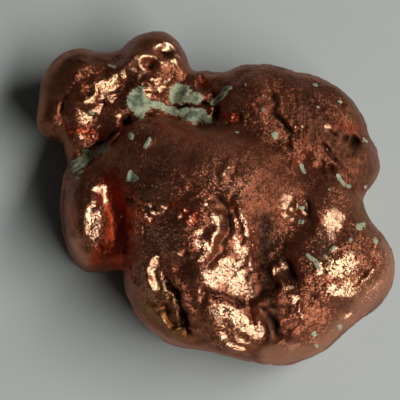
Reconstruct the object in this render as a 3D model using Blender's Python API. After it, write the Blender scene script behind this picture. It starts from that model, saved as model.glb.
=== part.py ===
"""Native copper nugget: one waterworn lump of metal, lying on its worn flat underside.

The nugget is a cluster of rounded lumps that have run into each other. The lumps are drawn over the
nugget's broad face, which leans back from the table, and are joined softly into one body, cut flat by
the table below. A ball of quads is drawn down onto that body like a skin, and the skin is then raised
and lowered by the marks on the broad face: swells and dents, folds and grooves, and ledges.
"""

from math import cos, pi, radians, sin, sqrt
from typing import NamedTuple

import bmesh
import bpy
import numpy as np

LENGTH = 0.040  # metres: the nugget's longest side, along X. The sizes below are in mm at this length.

FACE_LEAN = radians(20.0)  # how far the broad face leans back from the table
FACE_HEIGHT = 8.0  # height over the table of the plane that the lumps are drawn on
FLATNESS = 2.3  # of the lumps: 2 is an ellipsoid, and more has a flatter top and steeper sides
UNDERSIDE_ROUND = 0.5  # softness of the edge where the worn underside meets the sides
FLATTENED_BELOW = 0.03  # the underside is made exactly flat up to this height

FINEST_MARK = 0.7  # narrower marks are drawn this wide, so that the mesh can hold them
WANDER = 0.22  # how far the marks stray from their drawn lines
WANDER_LENGTH = 5.0  # distance over which they stray
UNEVENNESS = 0.10  # height of the gentle unevenness all over the metal
UNEVEN_LENGTH = 4.2  # distance between its rises

FIRST_SQUARES = 10  # squares along each edge of the cube that becomes the skin
FINER_SKINS = 2  # times that the skin is cut finer, each doubling its squares
START_RADII = (24.0, 22.0, 12.0)  # the skin at first: a ball stretched to enclose every lump
SETTLING_STEPS = 60  # for each fineness
EVENING_PULL = 0.35  # share of the way that a point moves to the middle of its neighbours in a step
LONGEST_STEP = 0.8
TRIANGLES = 9600  # how many stay when the gently curved stretches are thinned

COPPER_COLOUR = (0.56, 0.26, 0.16, 1.0)
COPPER_ROUGHNESS = 0.38


class Lump(NamedTuple):
    """A flattened ellipsoid. at is its centre on the face plane and height that centre's height over the
    table; radii run along the face, up the face and out of it; turn is in degrees on the face, and
    blend is the width over which it runs into the lumps before it."""

    name: str
    at: tuple
    height: float
    radii: tuple
    turn: float
    blend: float


class Swell(NamedTuple):
    """A round rise on the broad face, or a dent where rise is negative."""

    name: str
    at: tuple
    radii: tuple
    turn: float
    rise: float


class Fold(NamedTuple):
    """A ridge along a path on the broad face, or a groove where rise is negative."""

    name: str
    width: float
    rise: float
    path: list


class Ledge(NamedTuple):
    """A step along a path: the metal to the left of it stands higher, fading away over reach."""

    name: str
    edge: float
    reach: float
    rise: float
    path: list


LUMPS = [
    Lump("body", at=(0.6, -1.6), height=7.0, radii=(10.9, 9.1, 8.6), turn=0, blend=0.0),
    Lump("front_left", at=(-1.6, -8.7), height=6.6, radii=(8.2, 8.3, 7.8), turn=-8, blend=3.0),
    Lump("keel", at=(6.6, -12.8), height=6.0, radii=(8.0, 5.9, 6.8), turn=-4, blend=3.0),
    Lump("front_right", at=(13.5, -7.9), height=6.6, radii=(6.6, 6.2, 6.6), turn=-18, blend=3.0),
    Lump("hip", at=(12.4, -1.2), height=6.6, radii=(4.2, 4.4, 6.4), turn=0, blend=3.0),
    Lump("shoulder", at=(10.1, 6.7), height=6.4, radii=(7.5, 6.8, 6.8), turn=-30, blend=3.6),
    Lump("rear", at=(4.8, 9.5), height=6.2, radii=(4.8, 5.4, 6.6), turn=0, blend=3.0),
    Lump("knob", at=(15.5, 3.4), height=5.6, radii=(3.3, 3.2, 5.2), turn=0, blend=1.4),
    Lump("saddle", at=(-1.0, 9.5), height=5.0, radii=(4.2, 4.7, 5.0), turn=0, blend=2.0),
    Lump("brow", at=(-7.0, 3.3), height=6.6, radii=(5.6, 5.6, 6.4), turn=20, blend=2.5),
    Lump("neck", at=(-9.2, 8.6), height=5.0, radii=(4.9, 4.9, 5.0), turn=0, blend=1.5),
    Lump("head_left", at=(-14.6, 11.5), height=5.4, radii=(4.4, 5.2, 5.0), turn=20, blend=1.4),
    Lump("head_outer", at=(-16.2, 10.7), height=4.9, radii=(3.6, 4.6, 4.5), turn=0, blend=1.0),
    Lump("chin", at=(-17.9, 8.6), height=4.9, radii=(2.0, 2.2, 4.0), turn=0, blend=1.0),
    Lump("throat", at=(-15.0, 7.1), height=4.6, radii=(2.0, 2.9, 4.0), turn=0, blend=1.2),
    Lump("head_top", at=(-6.8, 14.0), height=5.8, radii=(4.2, 4.7, 5.4), turn=0, blend=1.4),
    Lump("head_web", at=(-11.2, 13.3), height=5.2, radii=(3.3, 3.1, 4.8), turn=0, blend=1.2),
    Lump("paw", at=(-13.8, -2.7), height=5.4, radii=(2.8, 5.6, 5.2), turn=6, blend=1.2),
    Lump("paw_under", at=(-14.4, -2.3), height=3.6, radii=(2.8, 6.4, 3.6), turn=6, blend=0.6),
    Lump("wrist", at=(-11.7, 1.3), height=5.2, radii=(2.9, 2.9, 5.0), turn=0, blend=1.8),
    Lump("valley", at=(-11.1, -3.2), height=4.4, radii=(2.9, 5.2, 4.4), turn=0, blend=1.8),
    Lump("gully", at=(-13.0, 4.2), height=3.8, radii=(3.3, 2.9, 3.8), turn=0, blend=1.5),
]

SWELLS = [
    Swell("crest_crater", at=(-12.3, 10.4), radii=(0.5, 0.44), turn=30, rise=-0.4),
    Swell("crest_left", at=(-14.8, 10.6), radii=(1.44, 1.89), turn=20, rise=0.75),
    Swell("crest_bar", at=(-10.2, 14.4), radii=(0.89, 0.5), turn=35, rise=0.75),
    Swell("ring_crater", at=(-6.8, 14.5), radii=(0.67, 0.61), turn=0, rise=-0.85),
    Swell("top_pit", at=(-5.2, 16.2), radii=(0.78, 0.67), turn=-25, rise=-0.9),
    Swell("head_notch", at=(-11.1, 15.5), radii=(1.0, 1.56), turn=0, rise=-0.8),
    Swell("bead_bank", at=(-7.0, 12.2), radii=(2.22, 1.11), turn=-5, rise=0.3),
    Swell("cheek_hollow", at=(-16.3, 11.7), radii=(0.67, 1.78), turn=-25, rise=-0.3),
    Swell("shoulder_knots", at=(4.8, 10.4), radii=(1.67, 2.22), turn=10, rise=0.4),
    Swell("twin_pit_left", at=(14.9, 6.2), radii=(0.38, 0.36), turn=0, rise=-0.9),
    Swell("twin_pit_right", at=(15.9, 5.7), radii=(0.47, 0.58), turn=20, rise=-1.6),
    Swell("knob_top", at=(16.6, 3.6), radii=(1.33, 1.67), turn=0, rise=0.3),
    Swell("glint_pit", at=(9.7, 2.7), radii=(0.56, 0.83), turn=30, rise=-0.75),
    Swell("green_pit", at=(-8.8, 2.3), radii=(0.67, 0.44), turn=20, rise=-0.5),
    Swell("plateau_left", at=(-7.0, 4.2), radii=(2.44, 2.89), turn=0, rise=0.3),
    Swell("speckled_mound", at=(-7.8, -1.6), radii=(2.0, 1.89), turn=0, rise=1.15),
    Swell("mound_pit", at=(-8.9, -0.6), radii=(0.51, 0.89), turn=0, rise=-0.75),
    Swell("red_knots", at=(-3.4, -1.6), radii=(2.0, 1.0), turn=-10, rise=0.35),
    Swell("thumb", at=(-3.1, -4.4), radii=(1.89, 2.33), turn=0, rise=1.25),
    Swell("under_arc_hollow", at=(-3.9, -8.4), radii=(1.22, 0.78), turn=-10, rise=-0.5),
    Swell("front_blob", at=(-1.1, -8.8), radii=(2.22, 1.67), turn=10, rise=0.8),
    Swell("facet_rise", at=(-1.0, -13.6), radii=(4.0, 3.56), turn=0, rise=1.2),
    Swell("facet_step", at=(-2.3, -13.8), radii=(1.33, 2.89), turn=0, rise=-0.7),
    Swell("facet_fall", at=(5.4, -16.3), radii=(3.11, 2.89), turn=0, rise=-0.6),
    Swell("facet_shelf", at=(1.4, -17.2), radii=(3.78, 2.22), turn=0, rise=1.7),
    Swell("swirl_hollow", at=(7.1, -13.4), radii=(1.33, 2.44), turn=0, rise=-0.5),
    Swell("cheek_bank", at=(-7.7, -8.1), radii=(1.44, 2.89), turn=4, rise=1.0),
    Swell("middle_hollow", at=(6.8, -4.7), radii=(2.22, 2.89), turn=20, rise=-0.75),
    Swell("hip_knob", at=(12.0, -1.6), radii=(1.89, 2.11), turn=0, rise=1.1),
    Swell("speck_mound", at=(9.0, -1.6), radii=(1.67, 1.0), turn=0, rise=0.45),
    Swell("speck_pit", at=(10.3, -1.4), radii=(0.4, 1.0), turn=10, rise=-0.7),
    Swell("hip_hollow", at=(10.2, -3.6), radii=(1.0, 0.78), turn=0, rise=-0.5),
    Swell("thumbprint", at=(8.4, -8.5), radii=(0.67, 1.56), turn=10, rise=-1.05),
    Swell("palm", at=(12.6, -7.8), radii=(2.89, 2.44), turn=0, rise=0.6),
    Swell("palm_heel", at=(13.7, -10.7), radii=(2.67, 1.11), turn=-8, rise=0.8),
]

FOLDS = [
    Fold("crest", width=1.22, rise=0.5, path=[(-14.4, 9.5), (-13.9, 10.7), (-12.9, 11.7), (-11.6, 12.6),
         (-10.2, 13.7), (-8.9, 14.7)]),
    Fold("collar_crease", width=0.56, rise=-1.0, path=[(-15.9, 4.1), (-14.3, 4.4), (-12.8, 5.1),
         (-11.4, 5.8), (-10.4, 6.7), (-9.6, 7.8), (-9.1, 9.1)]),
    Fold("crust_crease", width=0.67, rise=-0.7, path=[(-9.1, 9.1), (-7.6, 8.5), (-6.1, 9.1),
         (-4.6, 8.9), (-3.0, 7.8), (-1.0, 7.5), (0.3, 8.4)]),
    Fold("nape_crease", width=0.44, rise=-1.1, path=[(0.3, 8.4), (0.4, 9.7), (0.0, 11.1), (-0.8, 12.4),
         (-1.2, 13.7)]),
    Fold("shoulder_crack", width=0.26, rise=-0.5, path=[(5.9, 13.3), (6.6, 11.8), (6.9, 10.4),
         (6.8, 9.4), (7.3, 8.5), (8.1, 7.5), (8.3, 6.5), (8.2, 5.7), (8.8, 4.5)]),
    Fold("knob_crease", width=0.44, rise=-0.6, path=[(17.0, -0.2), (15.7, 0.8), (14.4, 1.6),
         (13.4, 2.5), (12.7, 3.6)]),
    Fold("shoulder_hip_fold", width=0.67, rise=-0.45, path=[(12.7, 3.6), (11.4, 3.3), (10.2, 3.8),
         (9.2, 5.1)]),
    Fold("knuckle", width=0.4, rise=0.38, path=[(0.3, 2.3), (1.0, 2.7), (1.7, 3.4), (2.2, 4.2)]),
    Fold("paw_crest", width=1.0, rise=0.45,
         path=[(-12.8, 1.7), (-13.3, -0.3), (-13.9, -2.5), (-14.1, -4.5), (-14.0, -6.1)]),
    Fold("valley_wall", width=0.44, rise=-0.55, path=[(-9.6, -1.6), (-9.7, -3.8), (-9.4, -5.8),
         (-9.8, -7.8)]),
    Fold("brow_edge", width=0.56, rise=0.35, path=[(-8.6, -2.7), (-8.4, -4.7), (-8.8, -6.5),
         (-9.1, -8.3), (-8.7, -10.3)]),
    Fold("thumb_groove", width=0.5, rise=-0.45, path=[(-0.2, 0.4), (0.8, -0.8), (1.4, -2.5),
         (1.4, -4.3), (0.9, -5.8), (0.0, -7.3), (-1.4, -8.2)]),
    Fold("facet_top_groove", width=0.4, rise=-0.45, path=[(-1.7, -11.1), (-0.1, -10.5), (1.4, -10.9),
         (3.0, -11.4), (4.1, -11.7)]),
    Fold("slot", width=0.33, rise=-0.7, path=[(-5.2, -8.2), (-4.8, -9.5), (-4.3, -10.6), (-3.8, -11.8),
         (-3.1, -13.2), (-2.6, -14.8)]),
    Fold("eye_recess", width=0.42, rise=-0.5, path=[(-6.1, -12.1), (-5.2, -12.5), (-4.4, -13.4),
         (-3.8, -14.4)]),
    Fold("ledge_foot", width=0.67, rise=-0.45, path=[(3.0, -0.5), (4.0, -2.1), (4.6, -3.8), (4.7, -5.8),
         (4.6, -7.8), (5.0, -9.5), (5.7, -11.2), (6.2, -12.8), (6.6, -14.7), (6.1, -16.6)]),
    Fold("thumbprint_lip", width=0.36, rise=0.5, path=[(6.9, -7.2), (7.0, -8.5), (7.4, -9.8),
         (8.0, -10.8)]),
    Fold("palm_edge", width=0.33, rise=0.35, path=[(15.1, -10.2), (16.2, -9.7), (17.2, -8.6),
         (17.8, -7.3)]),
    Fold("palm_fold", width=0.4, rise=-0.35, path=[(19.1, -3.8), (18.1, -4.7), (17.2, -5.8),
         (17.7, -7.2)]),
    Fold("rim_notch", width=0.44, rise=-0.45, path=[(16.1, -13.4), (15.1, -12.7), (13.9, -12.3)]),
]

LEDGES = [
    Ledge("ledge_top", edge=0.44, reach=1.44, rise=0.6, path=[(1.8, -0.4), (3.0, -1.5), (3.7, -2.9),
         (3.9, -4.7), (3.7, -5.8)]),
    Ledge("ledge_waist", edge=0.33, reach=1.11, rise=0.45, path=[(3.3, -4.5), (3.4, -6.1), (3.7, -7.6),
         (4.0, -8.9)]),
    Ledge("ledge_blob", edge=0.44, reach=1.44, rise=0.6, path=[(3.7, -8.3), (4.3, -9.5), (4.9, -10.9),
         (5.0, -12.1)]),
    Ledge("ledge_front", edge=0.39, reach=4.44, rise=0.7, path=[(4.3, -11.2), (4.9, -12.4),
         (5.6, -13.9), (5.8, -15.6), (5.0, -17.3)]),
    Ledge("head_band", edge=0.22, reach=1.11, rise=0.3, path=[(-16.9, 8.6), (-16.8, 10.4),
         (-16.2, 11.8), (-15.4, 13.2), (-14.3, 14.3), (-12.8, 15.2)]),
    Ledge("thumb_edge", edge=0.44, reach=1.33, rise=0.6, path=[(-3.2, -7.8), (-1.8, -7.6), (-0.6, -6.8),
         (0.2, -5.5), (0.7, -3.8), (0.3, -2.5), (-0.4, -1.2), (-1.1, 0.1)]),
    Ledge("cheek_slope", edge=0.56, reach=1.56, rise=0.6, path=[(-5.7, -11.2), (-6.4, -9.6),
         (-6.8, -8.1), (-6.4, -6.7), (-5.9, -5.5)]),
]


# ---- the body that the lumps make ----


def to_table(points):
    """Turns points from the leaning face's frame (along, up, out) to the table's (X, Y, Z)."""
    along, up, out = points.T
    back = up * cos(FACE_LEAN) - out * sin(FACE_LEAN)
    height = up * sin(FACE_LEAN) + out * cos(FACE_LEAN) + FACE_HEIGHT
    return np.stack([along, back, height], axis=1)


def lump_distance(points, lump):
    """Roughly how far the points stand off the lump's surface, negative inside it."""
    up = lump.at[1]
    out = (lump.height - FACE_HEIGHT - up * sin(FACE_LEAN)) / cos(FACE_LEAN)
    from_centre = points - np.array([*lump.at, out])
    turn = radians(lump.turn)
    along = from_centre[:, 0] * cos(turn) + from_centre[:, 1] * sin(turn)
    across = from_centre[:, 1] * cos(turn) - from_centre[:, 0] * sin(turn)
    radii = np.array(lump.radii)
    reach = np.stack([along, across, from_centre[:, 2]], axis=1) / radii
    flat = np.linalg.norm(reach[:, :2], axis=1) + 1e-9
    high = np.abs(reach[:, 2]) + 1e-9
    shells = (flat**FLATNESS + high**FLATNESS) ** (1 / FLATNESS)
    steepening = np.stack([flat, flat, high], axis=1) ** (FLATNESS - 2) * shells[:, None] ** (1 - FLATNESS)
    return (shells - 1.0) / (np.linalg.norm(reach * steepening / radii, axis=1) + 1e-9)


def softly_joined(first, second, width):
    """The smaller of two distances, rounded where they are closer than width to each other."""
    overlap = np.maximum(width - np.abs(first - second), 0.0) / width
    return np.minimum(first, second) - overlap**2 * width / 4


def body_distance(points):
    """Distance to all the lumps joined, cut off at the table."""
    lumps = lump_distance(points, LUMPS[0])
    for lump in LUMPS[1:]:
        lumps = softly_joined(lumps, lump_distance(points, lump), lump.blend)
    over_table = to_table(points)[:, 2]
    return -softly_joined(-lumps, over_table, UNDERSIDE_ROUND)


def body_slope(points, reach=0.03):
    """Direction in which the distance grows, from four probes around each point."""
    slope = np.zeros_like(points)
    for probe in np.array([(1, -1, -1), (-1, -1, 1), (-1, 1, -1), (1, 1, 1)], float):
        slope += body_distance(points + reach * probe)[:, None] * probe
    return slope / (4 * reach)


# ---- the skin ----


def cut_finer(skin, cuts):
    """Cuts each square of the skin into a grid."""
    bmesh.ops.subdivide_edges(skin, edges=skin.edges[:], cuts=cuts, use_grid_fill=True)
    skin.verts.index_update()


def points_of(skin):
    return np.array([vert.co for vert in skin.verts], float)


def move_points(skin, points):
    for vert, place in zip(skin.verts, points):
        vert.co = place


def enclosing_ball():
    """A cube of squares blown up to a stretched ball, its points about evenly spaced."""
    skin = bmesh.new()
    bmesh.ops.create_cube(skin, size=2.0)
    cut_finer(skin, cuts=FIRST_SQUARES - 1)
    evened = np.tan(points_of(skin) * pi / 4)
    move_points(skin, evened / np.linalg.norm(evened, axis=1, keepdims=True) * np.array(START_RADII))
    return skin


def neighbour_middles(points, edges):
    """The mean of each point's neighbours along the edges."""
    count = len(points)
    sums = [
        np.bincount(edges[:, 0], points[edges[:, 1], axis], count)
        + np.bincount(edges[:, 1], points[edges[:, 0], axis], count)
        for axis in range(3)
    ]
    return np.stack(sums, axis=1) / np.bincount(edges.ravel(), minlength=count)[:, None]


def settle(skin):
    """Draws the skin down onto the body, keeping its points evenly spread."""
    points = points_of(skin)
    edges = np.array([[vert.index for vert in edge.verts] for edge in skin.edges])
    for _ in range(SETTLING_STEPS):
        slope = body_slope(points)
        steepness = np.linalg.norm(slope, axis=1, keepdims=True)
        normal = slope / np.maximum(steepness, 1e-6)
        pull = neighbour_middles(points, edges) - points
        pull -= (pull * normal).sum(axis=1, keepdims=True) * normal
        points = points + EVENING_PULL * pull
        drop = body_distance(points)[:, None] / np.maximum(steepness, 0.3)
        points = points - np.clip(drop, -LONGEST_STEP, LONGEST_STEP) * normal
    move_points(skin, points)


# ---- the marks ----


def ripple(points, wavelength, seed, waves=14):
    """Smooth wandering of about -1 to 1: seeded sine waves that run in all directions."""
    random = np.random.default_rng(seed)
    direction = random.normal(size=(waves, 3))
    direction /= np.linalg.norm(direction, axis=1, keepdims=True)
    phase = random.uniform(0.0, 2 * pi, waves)
    return np.sin(points @ direction.T * (2 * pi / wavelength) + phase).sum(axis=1) / sqrt(waves)


def smooth_path(corners, pieces=6):
    """Points along a Catmull-Rom curve through the corners."""
    corners = np.array(corners, float)
    ends = [2 * corners[0] - corners[1], *corners, 2 * corners[-1] - corners[-2]]
    t = np.linspace(0.0, 1.0, pieces, endpoint=False)[:, None]
    stretches = [
        0.5 * (2 * b + (c - a) * t + (2 * a - 5 * b + 4 * c - d) * t**2 + (3 * b - a - 3 * c + d) * t**3)
        for a, b, c, d in zip(ends, ends[1:], ends[2:], ends[3:])
    ]
    return np.vstack([*stretches, corners[-1:]])


def beside_path(spots, corners):
    """How far each spot lies from the path (positive to its left), and a fade at the path's ends."""
    path = smooth_path(corners)
    nearest = np.full(len(spots), np.inf)
    offset = np.zeros(len(spots))
    share = np.zeros(len(spots))
    for place, (start, end) in enumerate(zip(path, path[1:])):
        run = end - start
        along = np.clip((spots - start) @ run / (run @ run), 0.0, 1.0)
        away = spots - start - along[:, None] * run
        distance = np.linalg.norm(away, axis=1)
        closer = distance < nearest
        nearest = np.where(closer, distance, nearest)
        offset = np.where(closer, distance * np.sign(run[0] * away[:, 1] - run[1] * away[:, 0]), offset)
        share = np.where(closer, (place + along) / (len(path) - 1), share)
    fade = np.clip(np.minimum(share, 1 - share) * 6 + 0.15, 0.0, 1.0)
    return offset, fade * fade * (3 - 2 * fade)


def swell_rise(spots, swell):
    turn = radians(swell.turn)
    from_centre = spots - np.array(swell.at)
    along = from_centre[:, 0] * cos(turn) + from_centre[:, 1] * sin(turn)
    across = from_centre[:, 1] * cos(turn) - from_centre[:, 0] * sin(turn)
    width, depth = (max(radius, FINEST_MARK) for radius in swell.radii)
    return swell.rise * np.exp(-((along / width) ** 2) - (across / depth) ** 2)


def fold_rise(spots, fold):
    offset, fade = beside_path(spots, fold.path)
    return fold.rise * fade * np.exp(-((offset / max(fold.width, FINEST_MARK)) ** 2))


def ledge_rise(spots, ledge):
    offset, fade = beside_path(spots, ledge.path)
    step = 1 / (1 + np.exp(-2 * offset / max(ledge.edge, FINEST_MARK / 2)))
    return ledge.rise * fade * step * np.exp(-((offset / ledge.reach) ** 2))


def marked(points):
    """Moves the skin out of and into the broad face by the marks there, and makes it uneven all over."""
    slope = body_slope(points)
    normal = slope / np.linalg.norm(slope, axis=1, keepdims=True)
    facing = np.clip((normal[:, 2] - 0.05) / 0.35, 0.0, 1.0)
    strayed = [points[:, axis] + WANDER * ripple(points, WANDER_LENGTH, seed=axis + 1) for axis in (0, 1)]
    spots = np.stack(strayed, axis=1)
    outward = sum(swell_rise(spots, swell) for swell in SWELLS)
    outward += sum(fold_rise(spots, fold) for fold in FOLDS)
    outward += sum(ledge_rise(spots, ledge) for ledge in LEDGES)
    clear_of_table = np.clip(to_table(points)[:, 2] / UNDERSIDE_ROUND - 0.5, 0.0, 1.0)
    unevenness = UNEVENNESS * ripple(points, UNEVEN_LENGTH, seed=3)
    moved = points + (unevenness * clear_of_table)[:, None] * normal
    moved[:, 2] += outward * facing * clear_of_table
    return moved


# ---- the finished part ----


def stood_on_table(points):
    """The points in metres, with the underside flat at Z = 0 below the origin and X = LENGTH long."""
    placed = to_table(points)
    placed[placed[:, 2] < FLATTENED_BELOW, 2] = 0.0
    low = placed.min(axis=0)
    high = placed.max(axis=0)
    middle = np.array([(low[0] + high[0]) / 2, (low[1] + high[1]) / 2, 0.0])
    return (placed - middle) * (LENGTH / (high[0] - low[0]))


def copper():
    material = bpy.data.materials.new("copper")
    material.use_nodes = True
    shader = material.node_tree.nodes["Principled BSDF"]
    shader.inputs["Base Color"].default_value = COPPER_COLOUR
    shader.inputs["Roughness"].default_value = COPPER_ROUGHNESS
    shader.inputs["Metallic"].default_value = 1.0
    return material


def thinned(skin):
    """The skin as a mesh of triangles, with fewer of them where it curves gently."""
    bmesh.ops.triangulate(skin, faces=skin.faces[:])
    mesh = bpy.data.meshes.new("full_skin")
    skin.to_mesh(mesh)
    guide = bpy.data.objects.new("full_skin", mesh)
    bpy.context.scene.collection.objects.link(guide)
    thinning = guide.modifiers.new("thinning", "DECIMATE")
    thinning.ratio = TRIANGLES / len(skin.faces)
    seen = guide.evaluated_get(bpy.context.evaluated_depsgraph_get())
    result = bpy.data.meshes.new_from_object(seen)
    bpy.data.objects.remove(guide)
    bpy.data.meshes.remove(mesh)
    return result


def make_nugget(collection):
    skin = enclosing_ball()
    settle(skin)
    for _ in range(FINER_SKINS):
        cut_finer(skin, cuts=1)
        settle(skin)
    move_points(skin, marked(points_of(skin)))
    bmesh.ops.recalc_face_normals(skin, faces=skin.faces[:])
    mesh = thinned(skin)
    skin.free()
    places = np.empty(len(mesh.vertices) * 3)
    mesh.vertices.foreach_get("co", places)
    mesh.vertices.foreach_set("co", stood_on_table(places.reshape(-1, 3)).ravel())
    mesh.name = "nugget"
    mesh.shade_smooth()
    mesh.materials.append(copper())
    collection.objects.link(bpy.data.objects.new("nugget", mesh))


def main():
    for old in list(bpy.data.objects):
        bpy.data.objects.remove(old, do_unlink=True)
    collection = bpy.data.collections.new("native_copper_nugget")
    bpy.context.scene.collection.children.link(collection)
    make_nugget(collection)


main()
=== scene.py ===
"""The looks of a native copper nugget: its waterworn, tarnished metal and its green crusts.

The nugget's skin is a ball of six square grids, drawn down onto a cluster of rounded lumps and then
raised and lowered by the marks on its broad face. Where the metal is brown, red, brassy or under a
crust, and where highlights, sheen and shade are painted onto its colour, is worked out point by
point and kept on the skin as attributes, which the metal's material reads.
"""

from math import cos, pi, radians, sin, sqrt
from typing import NamedTuple

import bpy
import numpy as np
from bpy.props import FloatProperty, FloatVectorProperty, PointerProperty
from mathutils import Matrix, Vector


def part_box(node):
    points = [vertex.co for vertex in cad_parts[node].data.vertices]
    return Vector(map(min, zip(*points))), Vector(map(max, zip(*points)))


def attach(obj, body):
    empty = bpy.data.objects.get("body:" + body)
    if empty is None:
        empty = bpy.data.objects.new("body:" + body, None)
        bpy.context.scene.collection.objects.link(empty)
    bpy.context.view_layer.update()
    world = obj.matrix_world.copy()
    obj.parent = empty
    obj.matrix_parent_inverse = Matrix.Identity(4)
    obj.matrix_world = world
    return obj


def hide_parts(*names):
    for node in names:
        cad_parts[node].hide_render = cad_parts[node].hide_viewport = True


bl_info = {
    "name": "Native copper nugget",
    "version": (1, 0, 0),
    "blender": (4, 5, 0),
    "location": "3D View > Sidebar > Nugget",
    "description": "Makes the skin and the metal of a waterworn native copper nugget",
    "category": "Add Mesh",
}

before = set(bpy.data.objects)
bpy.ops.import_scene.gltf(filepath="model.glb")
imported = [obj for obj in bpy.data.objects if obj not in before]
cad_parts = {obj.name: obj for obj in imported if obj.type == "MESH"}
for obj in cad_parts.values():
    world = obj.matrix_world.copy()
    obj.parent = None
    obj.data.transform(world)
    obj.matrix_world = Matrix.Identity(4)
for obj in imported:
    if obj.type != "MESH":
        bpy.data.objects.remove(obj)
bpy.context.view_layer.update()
NUGGET_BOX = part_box("nugget")

# Sizes from here to the stage are in millimetres, on a nugget 40 mm long.
MM = 0.001
FACE_LEAN = radians(20.0)  # how far the broad face leans back from the table
FACE_HEIGHT = 8.0  # height over the table of the plane that the lumps are drawn on
FLATNESS = 2.3  # of the lumps: 2 is an ellipsoid, and more has a flatter top and steeper sides
UNDERSIDE_ROUND = 0.5  # softness of the edge where the worn underside meets the sides
FLATTENED_BELOW = 0.03  # the underside is made exactly flat up to this height
START_RADII = (24.0, 22.0, 12.0)  # the skin at first: a ball stretched to enclose every lump
EVENING_PULL = 0.35  # share of the way that a point moves to the middle of its neighbours in a step
LONGEST_STEP = 0.8
SETTLING = {8: 60, 16: 60, 32: 60, 64: 24, 128: 6}  # squares along a grid's side: steps at that fineness
LEAST_SLOPE = 0.3  # of the distance, where a step is worked out from it
GATHERED_FROM = 32  # from this fineness on, the points gather at the front
GATHERING = 0.7  # how much stiffer an edge is that faces the front
SIDEWAYS = 0.2  # how far past sideways a point may face and still be gathered
PROBE = 0.03  # reach of the probes that find the direction of the surface
# Painted highlight: the direction halfway between the camera and the key light. Metal that faces it takes the
# bright stains in full and is painted a little lighter.
KEY_HIGHLIGHT_FACING = (0.32, -0.29, 0.90)  # the side that the nugget was rubbed bright from
KEY_HIGHLIGHT_EDGE = 0.88  # cosine of the angle to that side at which the brightness begins
KEY_HIGHLIGHT_FADE = 0.07  # further cosine over which it grows
OFF_HIGHLIGHT_SHARE = 0.2  # share of a bright stain's strength that shows on metal that faces another way
FACING_FADE = 0.3  # cosine of the angle to the front over which the marks grow to their full height

# How far a mark is worked out on either side, over its width, reach or larger radius.
SWELL_REACH = 2.6
FOLD_REACH = 3.0
LEDGE_REACH = 2.6
STAIN_REACH = 2.2

END_FADE = 6  # a mark fades out over one part in so many of its path, at either end
END_SHARE = 0.15  # share of its height that it keeps at the very end
WIDTH_SWING = 0.3  # how far a fold's width swings along it
FOLD_SWING = 0.5  # how far a fold's height swings, within FOLD_LIMITS
FOLD_LIMITS = (0.2, 1.6)
LEDGE_SWING = 0.25  # how far a ledge's height swings
EDGE_SWING = 0.5  # how far a ledge's edge strays, over its own width

# Little cells over the surface, in which beads and flakes lie.
CELL_KINDS = 4096  # different places and slopes that a cell can have
CELL_HASH = (73856093, 19349663, 83492791)
BEAD_RADIUS = 0.6  # over the cell's size
PIT_SIZE = 1.7  # of the pits between the beads, over the beads' size
PIT_DEPTH = 0.7  # over the beads' height
FLAKE_SLOPE = 0.6
CRACK_WIDTH = 0.25  # over the cell's size
SMOOTHING = 0.75  # share of the roughness that a smooth stain takes away
CRUST_EDGE = 0.35  # strength of a crust stain at which the crust begins
CRUST_FADE = 0.25  # further strength over which it grows to its full height
CRUST_SWING = 0.3  # how far its thickness swings
CRUST_LENGTH = 0.9  # distance between the swings

# Lengths in the metal's material, as the number of noise features in a metre.
FINE_NOISE = 3800.0
MIDDLING_NOISE = 1400.0
BROAD_NOISE = 380.0
FACET_CELLS = 6800.0
SCRATCH_NOISE = 4200.0
SCRATCH_ANGLES = (0.6, -0.9)  # radians
SCRATCH_STRETCH = 0.08  # share of the noise's features along a scratch
FINE_GRAIN = 0.00006  # height of the finest grain, in metres

FLOOR_HALF = 0.6  # half the side of the paper floor, in metres
VIEW_WIDTH = 400 / 9.0  # width of what the camera sees where the nugget is
TARGET = (-1.5, -1.2, 7.9)  # what the camera looks at


class Lump(NamedTuple):
    """A flattened ellipsoid. at is its centre on the face plane and height that centre's height over the
    table; radii run along the face, up the face and out of it; turn is in degrees on the face, and
    blend is the width over which it runs into the lumps before it."""

    name: str
    at: tuple
    height: float
    radii: tuple
    turn: float
    blend: float


class Swell(NamedTuple):
    """A round rise on the broad face, or a dent where rise is negative. turn is in degrees."""

    name: str
    at: tuple
    radii: tuple
    rise: float
    turn: float = 0


class Fold(NamedTuple):
    """A ridge along a path on the broad face, or a groove where rise is negative."""

    name: str
    width: float
    rise: float
    path: list


class Ledge(NamedTuple):
    """A step along a path: the metal to the left of it stands higher, fading away over reach."""

    name: str
    edge: float
    reach: float
    rise: float
    path: list


def bead_row(name, radii, rise, centres):
    """Swells of one size, at several places."""
    return [Swell(f"{name}_{number}", at, radii, rise) for number, at in enumerate(centres, 1)]


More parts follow.
